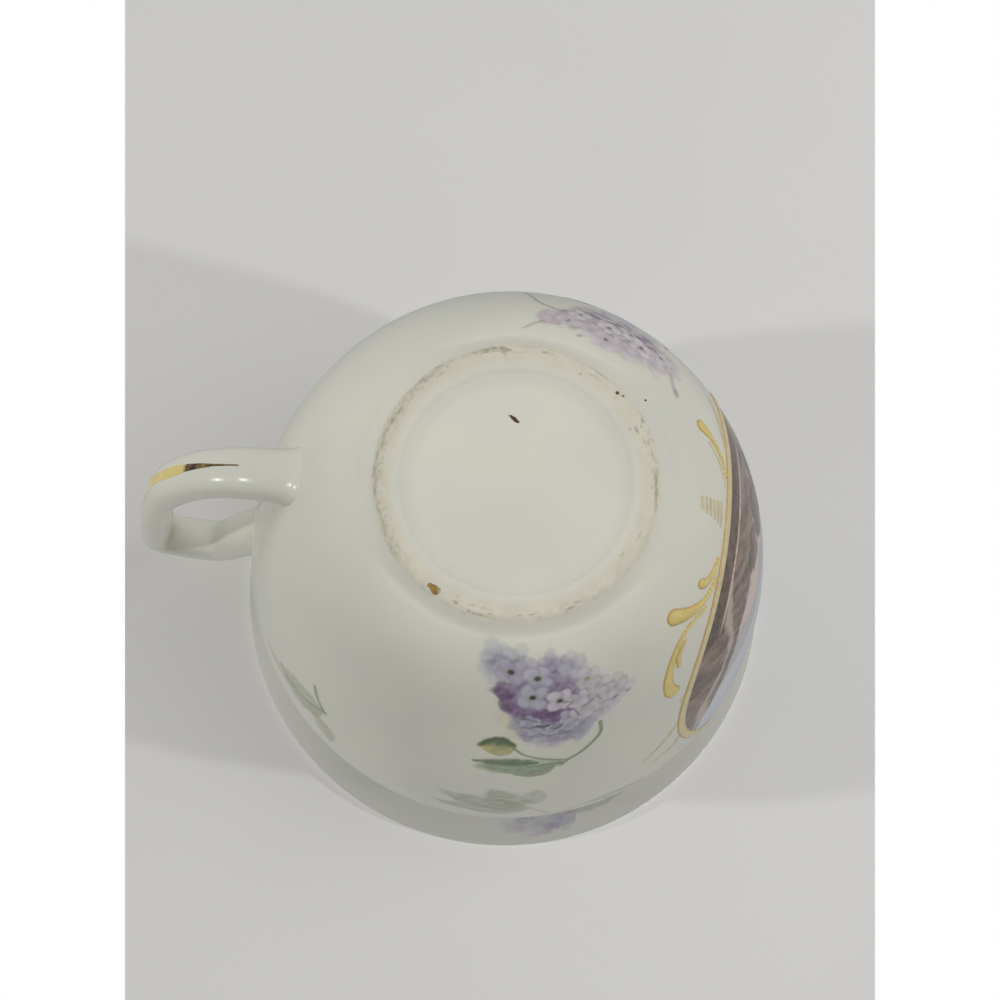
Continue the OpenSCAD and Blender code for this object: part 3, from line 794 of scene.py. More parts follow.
class Canvas:
    """A grid between two turns about the axis and two lengths up the wall. Its drawing has x along the
    ring and y up the wall, from a centre given as a turn and a length."""

    def __init__(self, turns, lengths, step, centre):
        widest = wall_radius(np.linspace(*lengths, 9)).max()
        columns = int(math.radians(turns[1] - turns[0]) * widest / step) + 1
        rows = int((lengths[1] - lengths[0]) / step) + 1
        self.turn, self.s = np.meshgrid(np.linspace(*turns, columns), np.linspace(*lengths, rows))
        self.r, self.z = wall_radius(self.s), wall_height(self.s)
        self.x = np.radians(self.turn - centre[0]) * self.r
        self.y = self.s - centre[1]
        self.colour = np.zeros((*self.s.shape, 3))
        self.cover = np.zeros(self.s.shape)
        self.lift = np.zeros(self.s.shape)

    def lay(self, mask, colour):
        """Paints a colour over what is there, by a mask from 0 to 1."""
        total = mask + self.cover * (1 - mask)
        share = np.where(total > 1e-6, mask / np.maximum(total, 1e-6), 0)[..., None]
        self.colour = self.colour * (1 - share) + np.asarray(colour) * share
        self.cover = total

    def spread(self):
        """Carries the colours a few cells past the painted edge, so that no dark rim shows there."""
        known = self.cover > 0.004
        for _ in range(3):
            total, count = np.zeros_like(self.colour), np.zeros(known.shape)
            for axis, way in ((0, 1), (0, -1), (1, 1), (1, -1)):
                near = np.roll(known, way, axis)
                total += np.roll(self.colour, way, axis) * near[..., None]
                count += near
            fill = ~known & (count > 0)
            self.colour[fill] = total[fill] / count[fill][:, None]
            known |= fill

    def film(self, name, slot, nodes, material):
        """The painted part as one thin closed mesh on the wall."""
        self.spread()
        keep = self.cover > LEAST_COVER
        cells = keep[:-1, :-1] | keep[1:, :-1] | keep[:-1, 1:] | keep[1:, 1:]
        while True:
            a, b, c, d = cells[:-1, :-1], cells[:-1, 1:], cells[1:, :-1], cells[1:, 1:]
            corner = (a & d & ~b & ~c) | (b & c & ~a & ~d)
            if not corner.any():
                break
            cells[:-1, :-1] |= corner
            cells[1:, 1:] |= corner
            cells[:-1, 1:] |= corner
        rows, columns = cells.shape
        used = np.zeros(self.s.shape, bool)
        for i, j in ((0, 0), (0, 1), (1, 0), (1, 1)):
            used[i:rows + i, j:columns + j] |= cells
        index = np.full(self.s.shape, -1)
        index[used] = np.arange(used.sum())
        n = int(used.sum())
        turn, s, lift = self.turn[used], self.s[used], self.lift[used]
        points = np.vstack([on_wall(turn, s, lift), on_wall(turn, s, np.full(n, -FILM_SUNK))])
        i, j = np.nonzero(cells)
        a, b, c, d = index[i, j], index[i, j + 1], index[i + 1, j + 1], index[i + 1, j]
        faces = list(zip(a, b, c, d)) + list(zip(n + d, n + c, n + b, n + a))
        padded = np.pad(cells, 1)
        for (di, dj), start, stop in CELL_SIDES:
            bare = ~padded[i + 1 + di, j + 1 + dj]
            p = index[i[bare] + start[0], j[bare] + start[1]]
            q = index[i[bare] + stop[0], j[bare] + stop[1]]
            faces += list(zip(q, p, n + p, n + q))
        obj = piece(name, points, faces, nodes, material, 60)
        set_paint(obj, np.tile(self.colour[used], (2, 1)), np.tile(np.clip(self.cover[used], 0, 1), 2))


# How far a film stands off the wall at its thinnest, and how much more under full paint
LEAST_LIFT, PRINT_LIFT = 0.015, 0.05
PETALS = [
    srgb(186, 186, 196), srgb(196, 195, 206), srgb(208, 198, 207), srgb(172, 167, 186), srgb(214, 207, 210),
    srgb(158, 152, 174),
]
LILAC_WASH, LILAC_GREY, PINK_WASH = srgb(160, 151, 174), srgb(180, 177, 188), srgb(208, 201, 204)
HALO = srgb(206, 200, 170)
MAUVE, MAUVE_DEEP, GREY_STEM = srgb(178, 162, 167), srgb(152, 135, 145), srgb(128, 128, 122)
PURPLE, BLUE_VIOLET, VIOLET_LINE = srgb(96, 64, 102), srgb(130, 108, 146), srgb(98, 88, 112)
EYE, EYE_SOFT, EYE_GREEN, OLIVE = srgb(44, 38, 42), srgb(92, 72, 82), srgb(128, 122, 84), srgb(150, 150, 116)
LEAF_DARK, LEAF_MID, LEAF_PALE = srgb(80, 100, 50), srgb(138, 158, 128), srgb(168, 185, 154)
LEAF_OCHRE, LEAF_GREY, STEM = srgb(172, 167, 110), srgb(146, 158, 134), srgb(112, 122, 92)
LEAF_LIME, LEAF_FADED, LEAF_OLIVE = srgb(178, 184, 144), srgb(148, 152, 130), srgb(160, 164, 126)


def lay_blob(canvas, x, y, radius, colour, strength, seed):
    """A soft wash with a ragged edge."""
    d = np.hypot(canvas.x - x, canvas.y - y) / radius
    d = d + 0.8 * (cloud(canvas.x, canvas.y, 1.6, seed) - 0.5)
    canvas.lay(strength * smooth(1.08, 0.62, d), colour)


def lay_floret(canvas, x, y, size, turn, petal, eye, strength, pupil=EYE, shade=0.42):
    """Four soft petals round a small eye, each over a faint shadow of its own."""
    dx, dy = canvas.x - x, canvas.y - y
    for k in range(4):
        a = turn + k * math.pi / 2
        along = dx * math.cos(a) + dy * math.sin(a) - 0.27 * size
        across = -dx * math.sin(a) + dy * math.cos(a)
        ragged = 0.7 * (cloud(canvas.x, canvas.y, 1.1, 7 + k) - 0.5)
        q = np.hypot(along / (0.27 * size), across / (0.24 * size)) + ragged
        aside, ahead = across + 0.3 * math.cos(a), along + 0.3 * math.sin(a)
        under = np.hypot(ahead / (0.27 * size), aside / (0.24 * size)) + ragged
        canvas.lay(shade * strength * smooth(1.4, 0.9, under), VIOLET_LINE)
        tone = smooth(-0.3 * size, 0.25 * size, along)[..., None]
        canvas.lay(strength * smooth(1.16, 0.66, q), petal * (0.76 + 0.26 * tone))
    if eye > 0:
        canvas.lay(0.7 * smooth(1.8 * eye, 1.0 * eye, np.hypot(dx, dy * 1.2)), EYE_GREEN)
        canvas.lay(smooth(1.25 * eye, 0.7 * eye, np.hypot(dx, dy * 1.2)), pupil)


def lay_leaf(canvas, base, tip, width, bend, colours, strength, seed, flip=1, midrib=0.55):
    """A pointed leaf with a darker half, a midrib and a ragged wash."""
    light, dark = colours
    bx, by = base
    length = math.hypot(tip[0] - bx, tip[1] - by)
    ux, uy = (tip[0] - bx) / length, (tip[1] - by) / length
    x, y = flip * canvas.x - bx, canvas.y - by
    t = np.clip((x * ux + y * uy) / length, 0, 1)
    ends = np.abs((x * ux + y * uy) / length - t) * length
    d = -x * uy + y * ux - bend * 4 * t * (1 - t)
    half = width / 2 * np.sin(math.pi * t**0.85) ** 0.8 + 1e-6
    ragged = 0.9 * (cloud(x, y, 1.3, seed) - 0.5)
    inside = smooth(0.45, -0.35, np.abs(d) - half + ragged + 3 * ends)
    shade = smooth(-0.35, 0.45, d / half + 0.9 * (cloud(x, y, 2.4, seed + 1) - 0.5))[..., None]
    mottle = 0.72 + 0.5 * cloud(x, y, 0.9, seed + 2)[..., None]
    canvas.lay(strength * inside, (light * (1 - shade) + dark * shade) * mottle)
    rib = smooth(0.26, 0.08, np.abs(d) + 3 * ends) * smooth(1.0, 0.6, t)
    canvas.lay(midrib * strength * rib * inside, dark * 0.75)


def lay_stroke(canvas, places, half_width, colour, strength, flip=1):
    """A brush line through places on the drawing."""
    line = catmull(places, np.linspace(0, len(places) - 1, 80))
    d = np.full(canvas.s.shape, 1e9)
    for px, py in line:
        d = np.minimum(d, np.hypot(flip * canvas.x - px, canvas.y - py))
    canvas.lay(strength * smooth(1.35 * half_width, 0.6 * half_width, d), colour)


# A hanging spray's washes: place, radius, colour and strength
CLUSTER = [
    (6.2, 2.8, 2.4, HALO, 0.5), (5.0, 6.2, 2.2, HALO, 0.45), (5.2, -6.2, 4.0, LILAC_GREY, 0.6),
    (1.2, -5.2, 4.4, LILAC_WASH, 0.6), (-3.2, -4.2, 4.4, LILAC_WASH, 0.6),
    (-6.4, -1.6, 3.8, PINK_WASH, 0.55), (2.0, -0.5, 4.6, LILAC_WASH, 0.75),
    (-3.0, 2.0, 5.2, LILAC_WASH, 0.7), (-8.6, 3.2, 4.4, PINK_WASH, 0.55), (1.2, 5.6, 4.4, LILAC_GREY, 0.8),
    (-4.0, 6.6, 4.2, LILAC_GREY, 0.65), (-0.6, 9.0, 3.0, LILAC_GREY, 0.55),
    (7.2, -8.4, 2.4, LILAC_GREY, 0.4), (-12.0, 2.4, 2.6, PINK_WASH, 0.4),
]
# Its shadows between the florets, mottled in purple and blue: place, radius and strength
SHADOWS = [
    (6.3, -3.0, 2.0, 0.75), (5.6, -0.6, 2.0, 0.8), (4.6, 1.2, 2.0, 0.8), (2.4, 2.2, 2.0, 0.85),
    (-0.5, 2.5, 2.3, 1.0), (-2.8, 2.4, 1.5, 0.6), (-0.9, -4.1, 1.8, 0.55), (-3.5, -3.1, 2.0, 0.5),
    (2.5, -4.0, 1.4, 0.5), (4.6, -4.0, 1.6, 0.55), (0.2, -1.2, 1.4, 0.5), (-4.4, -0.8, 1.3, 0.35),
]
# Its deepest places: place, radius and strength
DEEP = [
    (6.4, -2.4, 1.5, 0.7), (5.6, -0.4, 1.2, 0.55), (4.2, 1.7, 1.0, 0.4), (1.4, 2.3, 1.2, 0.7),
    (-0.8, 1.8, 1.5, 0.95),
]
# Its florets: place, petal tone, eye and strength
FLORETS = [
    (-2.3, -5.7, 3, 0.16, 0.5), (-6.0, 3.0, 4, 0.0, 0.6), (-8.0, 1.2, 4, 0.12, 0.6),
    (-10.2, 3.4, 4, 0.0, 0.5), (-12.0, 2.0, 4, 0.0, 0.45), (-7.2, -0.6, 4, 0.0, 0.5),
    (-5.1, 8.2, 0, 0.0, 0.5), (6.6, -9.0, 0, 0.0, 0.4), (7.7, -7.1, 0, 0.0, 0.35), (3.7, -8.5, 0, 0.0, 0.4),
    (-1.2, -7.4, 3, 0.0, 0.5), (-4.3, -6.3, 1, 0.0, 0.45), (-3.2, 5.7, 5, 0.0, 0.6),
    (-3.7, 8.3, 3, 0.0, 0.5), (2.9, 6.9, 5, 0.0, 0.6), (-0.9, 8.7, 3, 0.0, 0.55), (3.6, 4.2, 5, 0.0, 0.6),
    (-6.8, 5.4, 4, 0.0, 0.55), (-8.6, 4.6, 4, 0.0, 0.5), (-11.0, 0.6, 4, 0.0, 0.45),
    (-5.6, 6.4, 3, 0.0, 0.4), (0.6, 5.6, 5, 0.0, 0.7), (-1.6, 6.6, 5, 0.0, 0.6),
]
# The florets in front of the shadows: place, size, turn, petal tone, eye and strength
FRONT_FLORETS = [
    (2.6, 3.6, 3.2, 0.2, 1, 0.0, 0.55), (-3.4, 3.6, 3.2, 0.7, 1, 0.0, 0.6),
    (2.2, 5.6, 3.2, 1.1, 1, 0.0, 0.55), (-0.6, 6.4, 3.2, 0.4, 1, 0.0, 0.55),
    (-3.3, 5.9, 3.2, 0.1, 1, 0.0, 0.55), (-5.5, 3.4, 3.0, 1.0, 4, 0.0, 0.55),
    (-6.8, 0.2, 3.2, 0.6, 4, 0.0, 0.6), (-8.3, -1.2, 3.2, 0.3, 4, 0.0, 0.55),
    (-9.8, 0.8, 3.0, 0.8, 4, 0.0, 0.5), (-6.0, 2.6, 4.6, 0.3, 4, 0.0, 0.6),
    (-5.0, 0.3, 3.6, 0.9, 4, 0.0, 0.65), (4.9, -6.6, 4.6, 0.5, 3, 0.5, 0.7),
    (1.0, -5.3, 4.4, 0.9, 0, 0.48, 0.7), (2.0, -1.8, 5.0, 0.55, 0, 0.48, 0.75),
    (-2.1, -0.4, 4.6, 0.75, 2, 0.46, 0.9),
]
# Dark brush dashes among its lower and outer petals: places, half width and strength
DASHES = [
    ([(1.7, 4.7), (0.9, 5.0), (0.0, 4.9)], 0.32, 0.9), ([(3.4, 4.9), (2.8, 5.1), (2.2, 4.9)], 0.26, 0.6),
    ([(-0.6, 5.7), (-1.3, 5.9), (-2.0, 5.6)], 0.30, 0.65),
    ([(1.3, 6.7), (-0.2, 7.7), (-1.8, 7.4)], 0.2, 0.55),
    ([(-2.9, 7.4), (-3.2, 7.6), (-3.5, 7.3)], 0.3, 0.5),
    ([(-2.5, 9.0), (-2.7, 9.1), (-3.0, 9.0)], 0.22, 0.4),
    ([(-2.7, 0.1), (-4.0, 0.5), (-3.1, 1.4), (-4.3, 2.4), (-4.9, 3.9)], 0.2, 0.55),
    ([(-5.6, 2.1), (-6.6, 1.7), (-7.4, 1.3)], 0.2, 0.45),
    ([(-10.9, 2.8), (-11.1, 2.9), (-11.3, 2.8)], 0.28, 0.5),
    ([(-13.1, 2.8), (-13.3, 2.9), (-13.5, 2.9)], 0.26, 0.4),
    ([(8.0, -8.1), (7.6, -8.0), (7.2, -8.3)], 0.4, 0.35),
    ([(-1.3, -6.0), (-1.5, -6.0), (-1.7, -6.1)], 0.32, 0.5),
    ([(3.9, 2.6), (2.9, 2.9), (1.8, 3.6)], 0.24, 0.5),
]
OLIVE_FLORET = (-6.5, -3.2)
# Patches where short dark brush marks fall: middle, half size, count and strength
MARKS = [
    ((0.0, 6.0), (3.2, 2.2), 4, 0.4), ((-5.4, 2.4), (3.0, 3.4), 4, 0.35), ((3.0, -7.6), (4.2, 1.8), 4, 0.3),
]
# The spray behind the cup, pinker and flatter
BACK_CLUSTER = [
    (-8.6, -6.2, 3.0, MAUVE, 0.75), (-5.5, -4.8, 3.8, MAUVE_DEEP, 0.65), (-2.0, -4.6, 4.2, MAUVE, 0.65),
    (1.6, -4.4, 4.2, MAUVE, 0.65), (5.2, -3.4, 4.0, MAUVE, 0.65), (8.4, -2.8, 3.4, MAUVE, 0.6),
    (11.4, -0.6, 2.6, MAUVE, 0.5), (-5.2, 0.4, 3.0, MAUVE_DEEP, 0.6), (-1.2, 0.8, 3.2, MAUVE_DEEP, 0.6),
    (3.0, 1.2, 3.2, MAUVE_DEEP, 0.65), (6.6, 1.6, 3.0, MAUVE_DEEP, 0.6), (10.0, 1.8, 2.4, MAUVE, 0.5),
    (-1.0, 5.0, 4.0, LILAC_GREY, 0.6), (4.0, 5.4, 4.0, LILAC_GREY, 0.6), (0.6, -8.2, 2.2, MAUVE, 0.3),
    (3.4, -7.4, 2.0, MAUVE, 0.3),
]
BACK_SHADOWS = [
    (-3.4, -1.2, 1.4, 0.45), (0.9, -1.6, 1.5, 0.5), (4.4, 0.2, 1.5, 0.55), (7.4, -0.6, 1.4, 0.5),
    (2.4, -5.0, 1.1, 0.3), (-2.6, 1.4, 1.6, 0.45), (1.6, 2.4, 1.6, 0.5), (5.6, 3.0, 1.6, 0.5),
]
BACK_FLORETS = [
    (-8.4, -6.0, 2, 0.0, 0.5), (-6.4, -6.4, 4, 0.2, 0.6), (-2.4, -6.6, 2, 0.0, 0.6),
    (3.6, -6.6, 2, 0.0, 0.5), (6.2, -5.8, 2, 0.0, 0.5), (8.8, -4.6, 4, 0.0, 0.5), (11.6, -0.4, 4, 0.0, 0.5),
    (1.4, -3.8, 4, 0.0, 0.7), (-2.0, 1.0, 2, 0.2, 0.5), (2.4, 1.8, 2, 0.2, 0.5), (-5.4, -3.0, 4, 0.3, 0.75),
    (-0.3, -3.4, 4, 0.36, 0.8), (0.4, -7.4, 2, 0.3, 0.6), (3.1, -1.0, 4, 0.32, 0.75),
    (5.7, -3.1, 4, 0.36, 0.8), (9.2, -0.8, 4, 0.32, 0.7), (-3.0, 4.0, 1, 0.3, 0.6), (2.0, 5.4, 1, 0.3, 0.6),
    (6.0, 5.0, 1, 0.0, 0.5), (-0.4, 7.0, 0, 0.0, 0.5),
]
BACK_MARKS = [
    ((0.0, 0.2), (6.5, 1.4), 24, 0.7), ((7.0, 0.6), (4.0, 1.6), 12, 0.6),
    ((0.0, -4.0), (6.0, 2.2), 10, 0.4),
]


def paint_cluster(canvas, seed, washes, shadows, florets, marks, shade=0.42, pupil=EYE):
    """The head of a lilac: washes, shadows, florets and short brush marks."""
    rng = np.random.default_rng(seed)
    for k, (x, y, radius, colour, strength) in enumerate(washes):
        lay_blob(canvas, x, y, radius, colour, strength, seed + k)
    mottle = smooth(0.35, 0.65, cloud(canvas.x, canvas.y, 1.2, seed + 20))[..., None]
    violet = PURPLE * (1 - mottle) + BLUE_VIOLET * mottle
    for k, (x, y, radius, strength) in enumerate(shadows):
        lay_blob(canvas, x, y, radius, violet, strength, seed + 30 + k)
    for x, y, tone, eye, strength in florets:
        turn = rng.uniform(0, math.pi)
        lay_floret(canvas, x, y, rng.uniform(3.9, 4.7), turn, PETALS[tone], eye, strength, pupil, shade)
    for k, (x, y, radius, strength) in enumerate(shadows):
        lay_blob(canvas, x, y, radius * 0.7, violet, 0.6 * strength, seed + 50 + k)
    for (mx, my), (wide, high), count, strength in marks:
        for _ in range(count):
            x, y = mx + wide * rng.uniform(-1, 1), my + high * rng.uniform(-1, 1)
            way, reach = rng.uniform(-0.5, 0.5), rng.uniform(0.3, 0.9)
            dx, dy = reach * math.cos(way), reach * math.sin(way)
            ends = [(x - dx, y - dy), (x, y + 0.08), (x + dx, y + dy)]
            tone = VIOLET_LINE * rng.uniform(0.4, 1)
            lay_stroke(canvas, ends, rng.uniform(0.15, 0.27), tone, strength * rng.uniform(0.5, 1))


def paint_front_florets(canvas, seed):
    """The florets that stand before the shadows, and the dashes between petals."""
    for k, (x, y, radius, strength) in enumerate(DEEP):
        lay_blob(canvas, x, y, radius, PURPLE, strength, seed + 80 + k)
    for x, y, size, turn, tone, eye, strength in FRONT_FLORETS:
        lay_floret(canvas, x, y, size, turn, PETALS[tone], eye, strength)
    for places, half, strength in DASHES:
        lay_stroke(canvas, places, half, VIOLET_LINE * 0.55, strength)


# The leaves above a lilac: base, tip, width, bend, light and dark tones, strength and seed
LEAVES = [
    ((2.6, 17.4), (12.0, 17.6), 3.6, 0.4, (LEAF_LIME, LEAF_OLIVE), 0.75, 73),
    ((-2.4, 16.8), (11.8, 16.7), 5.6, 0.2, (LEAF_PALE, LEAF_MID), 0.9, 70),
    ((-0.8, 17.6), (5.8, 20.0), 3.8, 0.5, (LEAF_MID, LEAF_GREY * 0.8), 0.9, 72),
    ((1.6, 15.9), (12.2, 15.6), 2.6, -0.3, (LEAF_DARK * 1.2, LEAF_DARK), 0.85, 74),
]


def paint_leaves(canvas, seed, flip=1):
    """The leaves above a lilac and the stem that carries them; flip -1 mirrors them."""
    stem = [(-8.4, 7.4), (-8.5, 10.2), (-7.5, 12.2), (-5.4, 14.7), (-3.1, 16.5), (-1.9, 18.0)]
    lay_stroke(canvas, stem, 0.34, STEM, 0.85, flip)
    for *leaf, leaf_seed in LEAVES:
        lay_leaf(canvas, *leaf, seed + leaf_seed, flip)
    lay_stroke(canvas, [(-2.2, 16.9), (0.6, 16.9), (3.4, 17.3)], 0.24, LEAF_DARK, 0.6, flip)
    lay_leaf(canvas, (5.0, 10.2), (11.0, 10.3), 5.6, 0.0, (LEAF_DARK, LEAF_OCHRE), 0.95, seed + 76, flip)
    lay_stroke(canvas, [(10.9, 10.4), (8.0, 8.0), (5.4, 9.6)], 0.45, LEAF_DARK * 0.8, 0.6, flip)
    lay_stroke(canvas, [(-3.0, 16.4), (1.6, 14.4), (4.0, 12.8), (5.6, 10.4)], 0.24, STEM, 0.85, flip)


def finish_print(canvas, name, slot, node):
    """Makes a print's film, thicker where there is more paint."""
    canvas.lift = LEAST_LIFT + PRINT_LIFT * canvas.cover
    canvas.film(name, slot, [node], PRINT)


# The length up the wall where both hanging sprays have their middle
SPRAY_S = 14.0


def make_sprays():
    front = Canvas((227, 281), (1.5, 40), 0.22, (255, SPRAY_S))
    paint_cluster(front, 11, CLUSTER, SHADOWS, FLORETS, MARKS)
    paint_front_florets(front, 11)
    lay_floret(front, *OLIVE_FLORET, 4.0, 0.4, PETALS[4] * 0.95, 0.34, 0.5, OLIVE)
    paint_leaves(front, 11)
    finish_print(front, "lilac_front", "lilac_print", "lilac_spray_front")
    back = Canvas((80, 146), (1.5, 40), 0.24, (113, SPRAY_S))
    paint_cluster(back, 47, BACK_CLUSTER, BACK_SHADOWS, BACK_FLORETS, BACK_MARKS, 0.2, EYE_SOFT)
    lay_stroke(back, [(-17.0, 6.6), (-13.3, -0.6), (-10.2, -3.0), (-8.0, -3.2)], 0.3, GREY_STEM, 0.7)
    lay_stroke(back, [(-11.8, -10.2), (-11.0, -9.2), (-9.8, -8.0)], 0.3, MAUVE_DEEP, 0.5)
    lay_stroke(back, [(12.0, -2.4), (13.2, -4.0), (14.8, -5.2)], 0.5, MAUVE_DEEP, 0.5)
    lay_blob(back, 14.6, -5.0, 0.9, MAUVE_DEEP, 0.5, 61)
    for x, y, radius in ((-7.3, -8.0, 0.42), (-3.4, -9.3, 0.42)):
        lay_blob(back, x, y, radius, MAUVE_DEEP, 0.6, 60)
    paint_leaves(back, 47, -1)
    finish_print(back, "lilac_back", "lilac_print", "lilac_spray_back")


# The faded branch below the rim: base, tip, width and strength of each leaf, two of them painted crease shade
FADED_LEAVES_AND_CREASE_SHADE = [
    ((3.6, 2.6), (18.6, -2.2), 6.4, 0.6), ((3.4, 3.4), (19.6, 4.6), 5.2, 0.6),
    ((3.8, 1.6), (9.4, -7.2), 5.6, 0.55), ((3.0, 4.2), (12.6, 7.4), 4.0, 0.5),
    # Painted shade along the crease between bowl and flare: the last entry here and the first on the next
    # line
    ((2.4, 2.0), (1.6, -6.4), 4.4, 0.45), ((-6.4, 9.2), (-20.0, 10.9), 2.8, 0.6),
    ((-4.6, 31.2), (-20.0, 31.0), 3.6, 0.5), ((-1.4, 13.0), (-6.6, 9.2), 1.8, 0.4),
]
# Its stem, and the washes of the cluster at its end: place, radius and strength
RIM_STEM = [(3.6, 3.2), (0.6, 8.4), (-1.6, 14.0), (-1.9, 21.0), (-0.4, 27.0), (1.6, 31.6)]
RIM_HEAD = [
    (4.6, 32.2, 2.6, 0.4), (1.8, 31.9, 2.8, 0.6), (-2.0, 32.3, 2.8, 0.7), (-5.4, 31.6, 2.4, 0.5),
    (0.6, 34.4, 2.4, 0.4),
]


def make_rim_spray():
    """A faded branch: leaves on the bowl, a stem up the neck and a soft cluster on the flare, with painted
    shade along the crease between bowl and flare.
    """
    canvas = Canvas((228, 282), (39, 83.4), 0.26, (255, 48))
    faded = (LEAF_FADED, LEAF_FADED * 0.86)
    # Two of these leaves are painted shade along the crease between bowl and flare
    for k, (base, tip, width, strength) in enumerate(FADED_LEAVES_AND_CREASE_SHADE):
        lay_leaf(canvas, base, tip, width, 0.5, faded, 1.05 * strength, 90 + 3 * k, midrib=0.25)
    for k, (x, y, radius) in enumerate(((7.0, 1.6, 4.6), (12.6, 1.2, 4.0), (8.4, -3.4, 3.0))):
        lay_blob(canvas, x, y, radius, LEAF_FADED, 0.5, 120 + k)
    canvas.cover *= 0.7 + 0.3 * smooth(0.34, 0.6, cloud(canvas.x * 0.35, canvas.y, 0.7, 97))
    lay_stroke(canvas, RIM_STEM, 0.26, LEAF_FADED, 0.55)
    streaks = 0.35 + 0.65 * smooth(0.3, 0.7, cloud(canvas.x * 0.4, canvas.y, 1.2, 98))
    for k, (x, y, radius, strength) in enumerate(RIM_HEAD):
        lay_blob(canvas, x, y, radius, LILAC_WASH * 0.9, strength * streaks, 100 + k)
    rng = np.random.default_rng(17)
    for k in range(8):
        place = (rng.uniform(-5.5, 4.5), rng.uniform(30.6, 34.0))
        lay_floret(canvas, *place, rng.uniform(2.8, 3.6), rng.uniform(0, 3), PETALS[k % 4], 0.0, 0.25)
    finish_print(canvas, "lilac_rim", "lilac_print", "lilac_spray_rim")


def make_sprig():
    """The leaves on the left, with their stems."""
    canvas = Canvas((297, 334), (30, 62), 0.26, (314, 46))
    olive = (LEAF_OLIVE, LEAF_OLIVE * 0.8)
    lay_leaf(canvas, (-3.8, -4.4), (8.6, 1.0), 8.4, 1.8, olive, 0.68, 110)
    lay_leaf(canvas, (-2.5, 0.0), (-6.5, 8.5), 5.0, 0.5, olive, 0.55, 112)
    lay_leaf(canvas, (4.0, 2.0), (14.0, 4.0), 4.0, 0.3, olive, 0.35, 114)
    lay_stroke(canvas, [(6.5, 1.9), (4.2, 1.0), (-0.2, -0.9), (-4.2, -4.8)], 0.32, STEM, 0.65)
    lay_stroke(canvas, [(6.2, 4.3), (3.2, 5.2), (0.5, 4.4)], 0.3, STEM, 0.4)
    lay_stroke(canvas, [(-0.6, -10.0), (-1.9, -7.0), (-4.2, -4.0)], 0.42, STEM, 0.8)
    finish_print(canvas, "leaf_sprig_left", "leaf_print", "leaf_sprig")


# The panel: a plain landscape, a wooded bank in browns before pink fields and a pale sky

SKY_HIGH, SKY_LOW, CLOUD = srgb(172, 190, 214), srgb(214, 212, 214), srgb(232, 230, 228)
FIELD, HILL, UMBER, SEPIA = srgb(214, 192, 178), srgb(176, 174, 174), srgb(124, 102, 91), srgb(76, 57, 48)
WOOD, WOOD_LIGHT = srgb(108, 85, 74), srgb(138, 116, 104)
PALE_LINE = srgb(222, 200, 184)


def panel_place(canvas):
    """Places as seen straight at the panel, from its middle."""
    return canvas.r * np.sin(np.radians(canvas.turn - PANEL_TURN)), canvas.z - PANEL_Z


def oval_reach(canvas, grow):
    """1 on the panel's edge when grown by that much, less inside it."""
    x, y = panel_place(canvas)
    return np.hypot(x / (PANEL_W / 2 + grow), y / (PANEL_H / 2 + grow))


def lay_clumps(canvas, x, y, middle, half, tones, strength, seed):
    """A tree's crown or a cloud: a heap of small ragged rounds, lit from the upper left."""
    rng = np.random.default_rng(seed)
    places = rng.uniform(-1, 1, (46, 2))
    places = places[np.hypot(*places.T) < 1]
    ragged = 0.7 * (cloud(x + 0.5 * y, y - 0.5 * x, 0.9, seed) - 0.5)
    dark, light = tones
    for px, py in places[np.argsort(places[:, 1])]:
        radius = rng.uniform(0.22, 0.4)
        dx, dy = (x - middle[0]) / half[0] - 0.85 * px, (y - middle[1]) / half[1] - 0.85 * py
        lit = 0.45 + 0.35 * py - 0.2 * px + 0.35 * (dy - dx) / radius + rng.uniform(-0.2, 0.2)
        mask = strength * smooth(1.15, 0.7, np.hypot(dx, dy) / radius + ragged)
        canvas.lay(mask, dark + (light - dark) * np.clip(lit, 0, 1)[..., None])


# The panel's clouds and trees: middle, half size and strength
CLOUDS = [
    ((-9, 13), (10, 4), 0.5), ((11, 16), (8, 3.4), 0.45), ((-2, 6.5), (13, 2.2), 0.35),
    ((-19, 8.5), (6, 2), 0.35),
]
TREES = [
    ((-22, -6), (7.5, 7), 0.9), ((-15, -9), (7, 7), 0.9), ((-8, -13), (5, 4.6), 0.9),
    ((0, -15.6), (4, 3.2), 0.9),
]


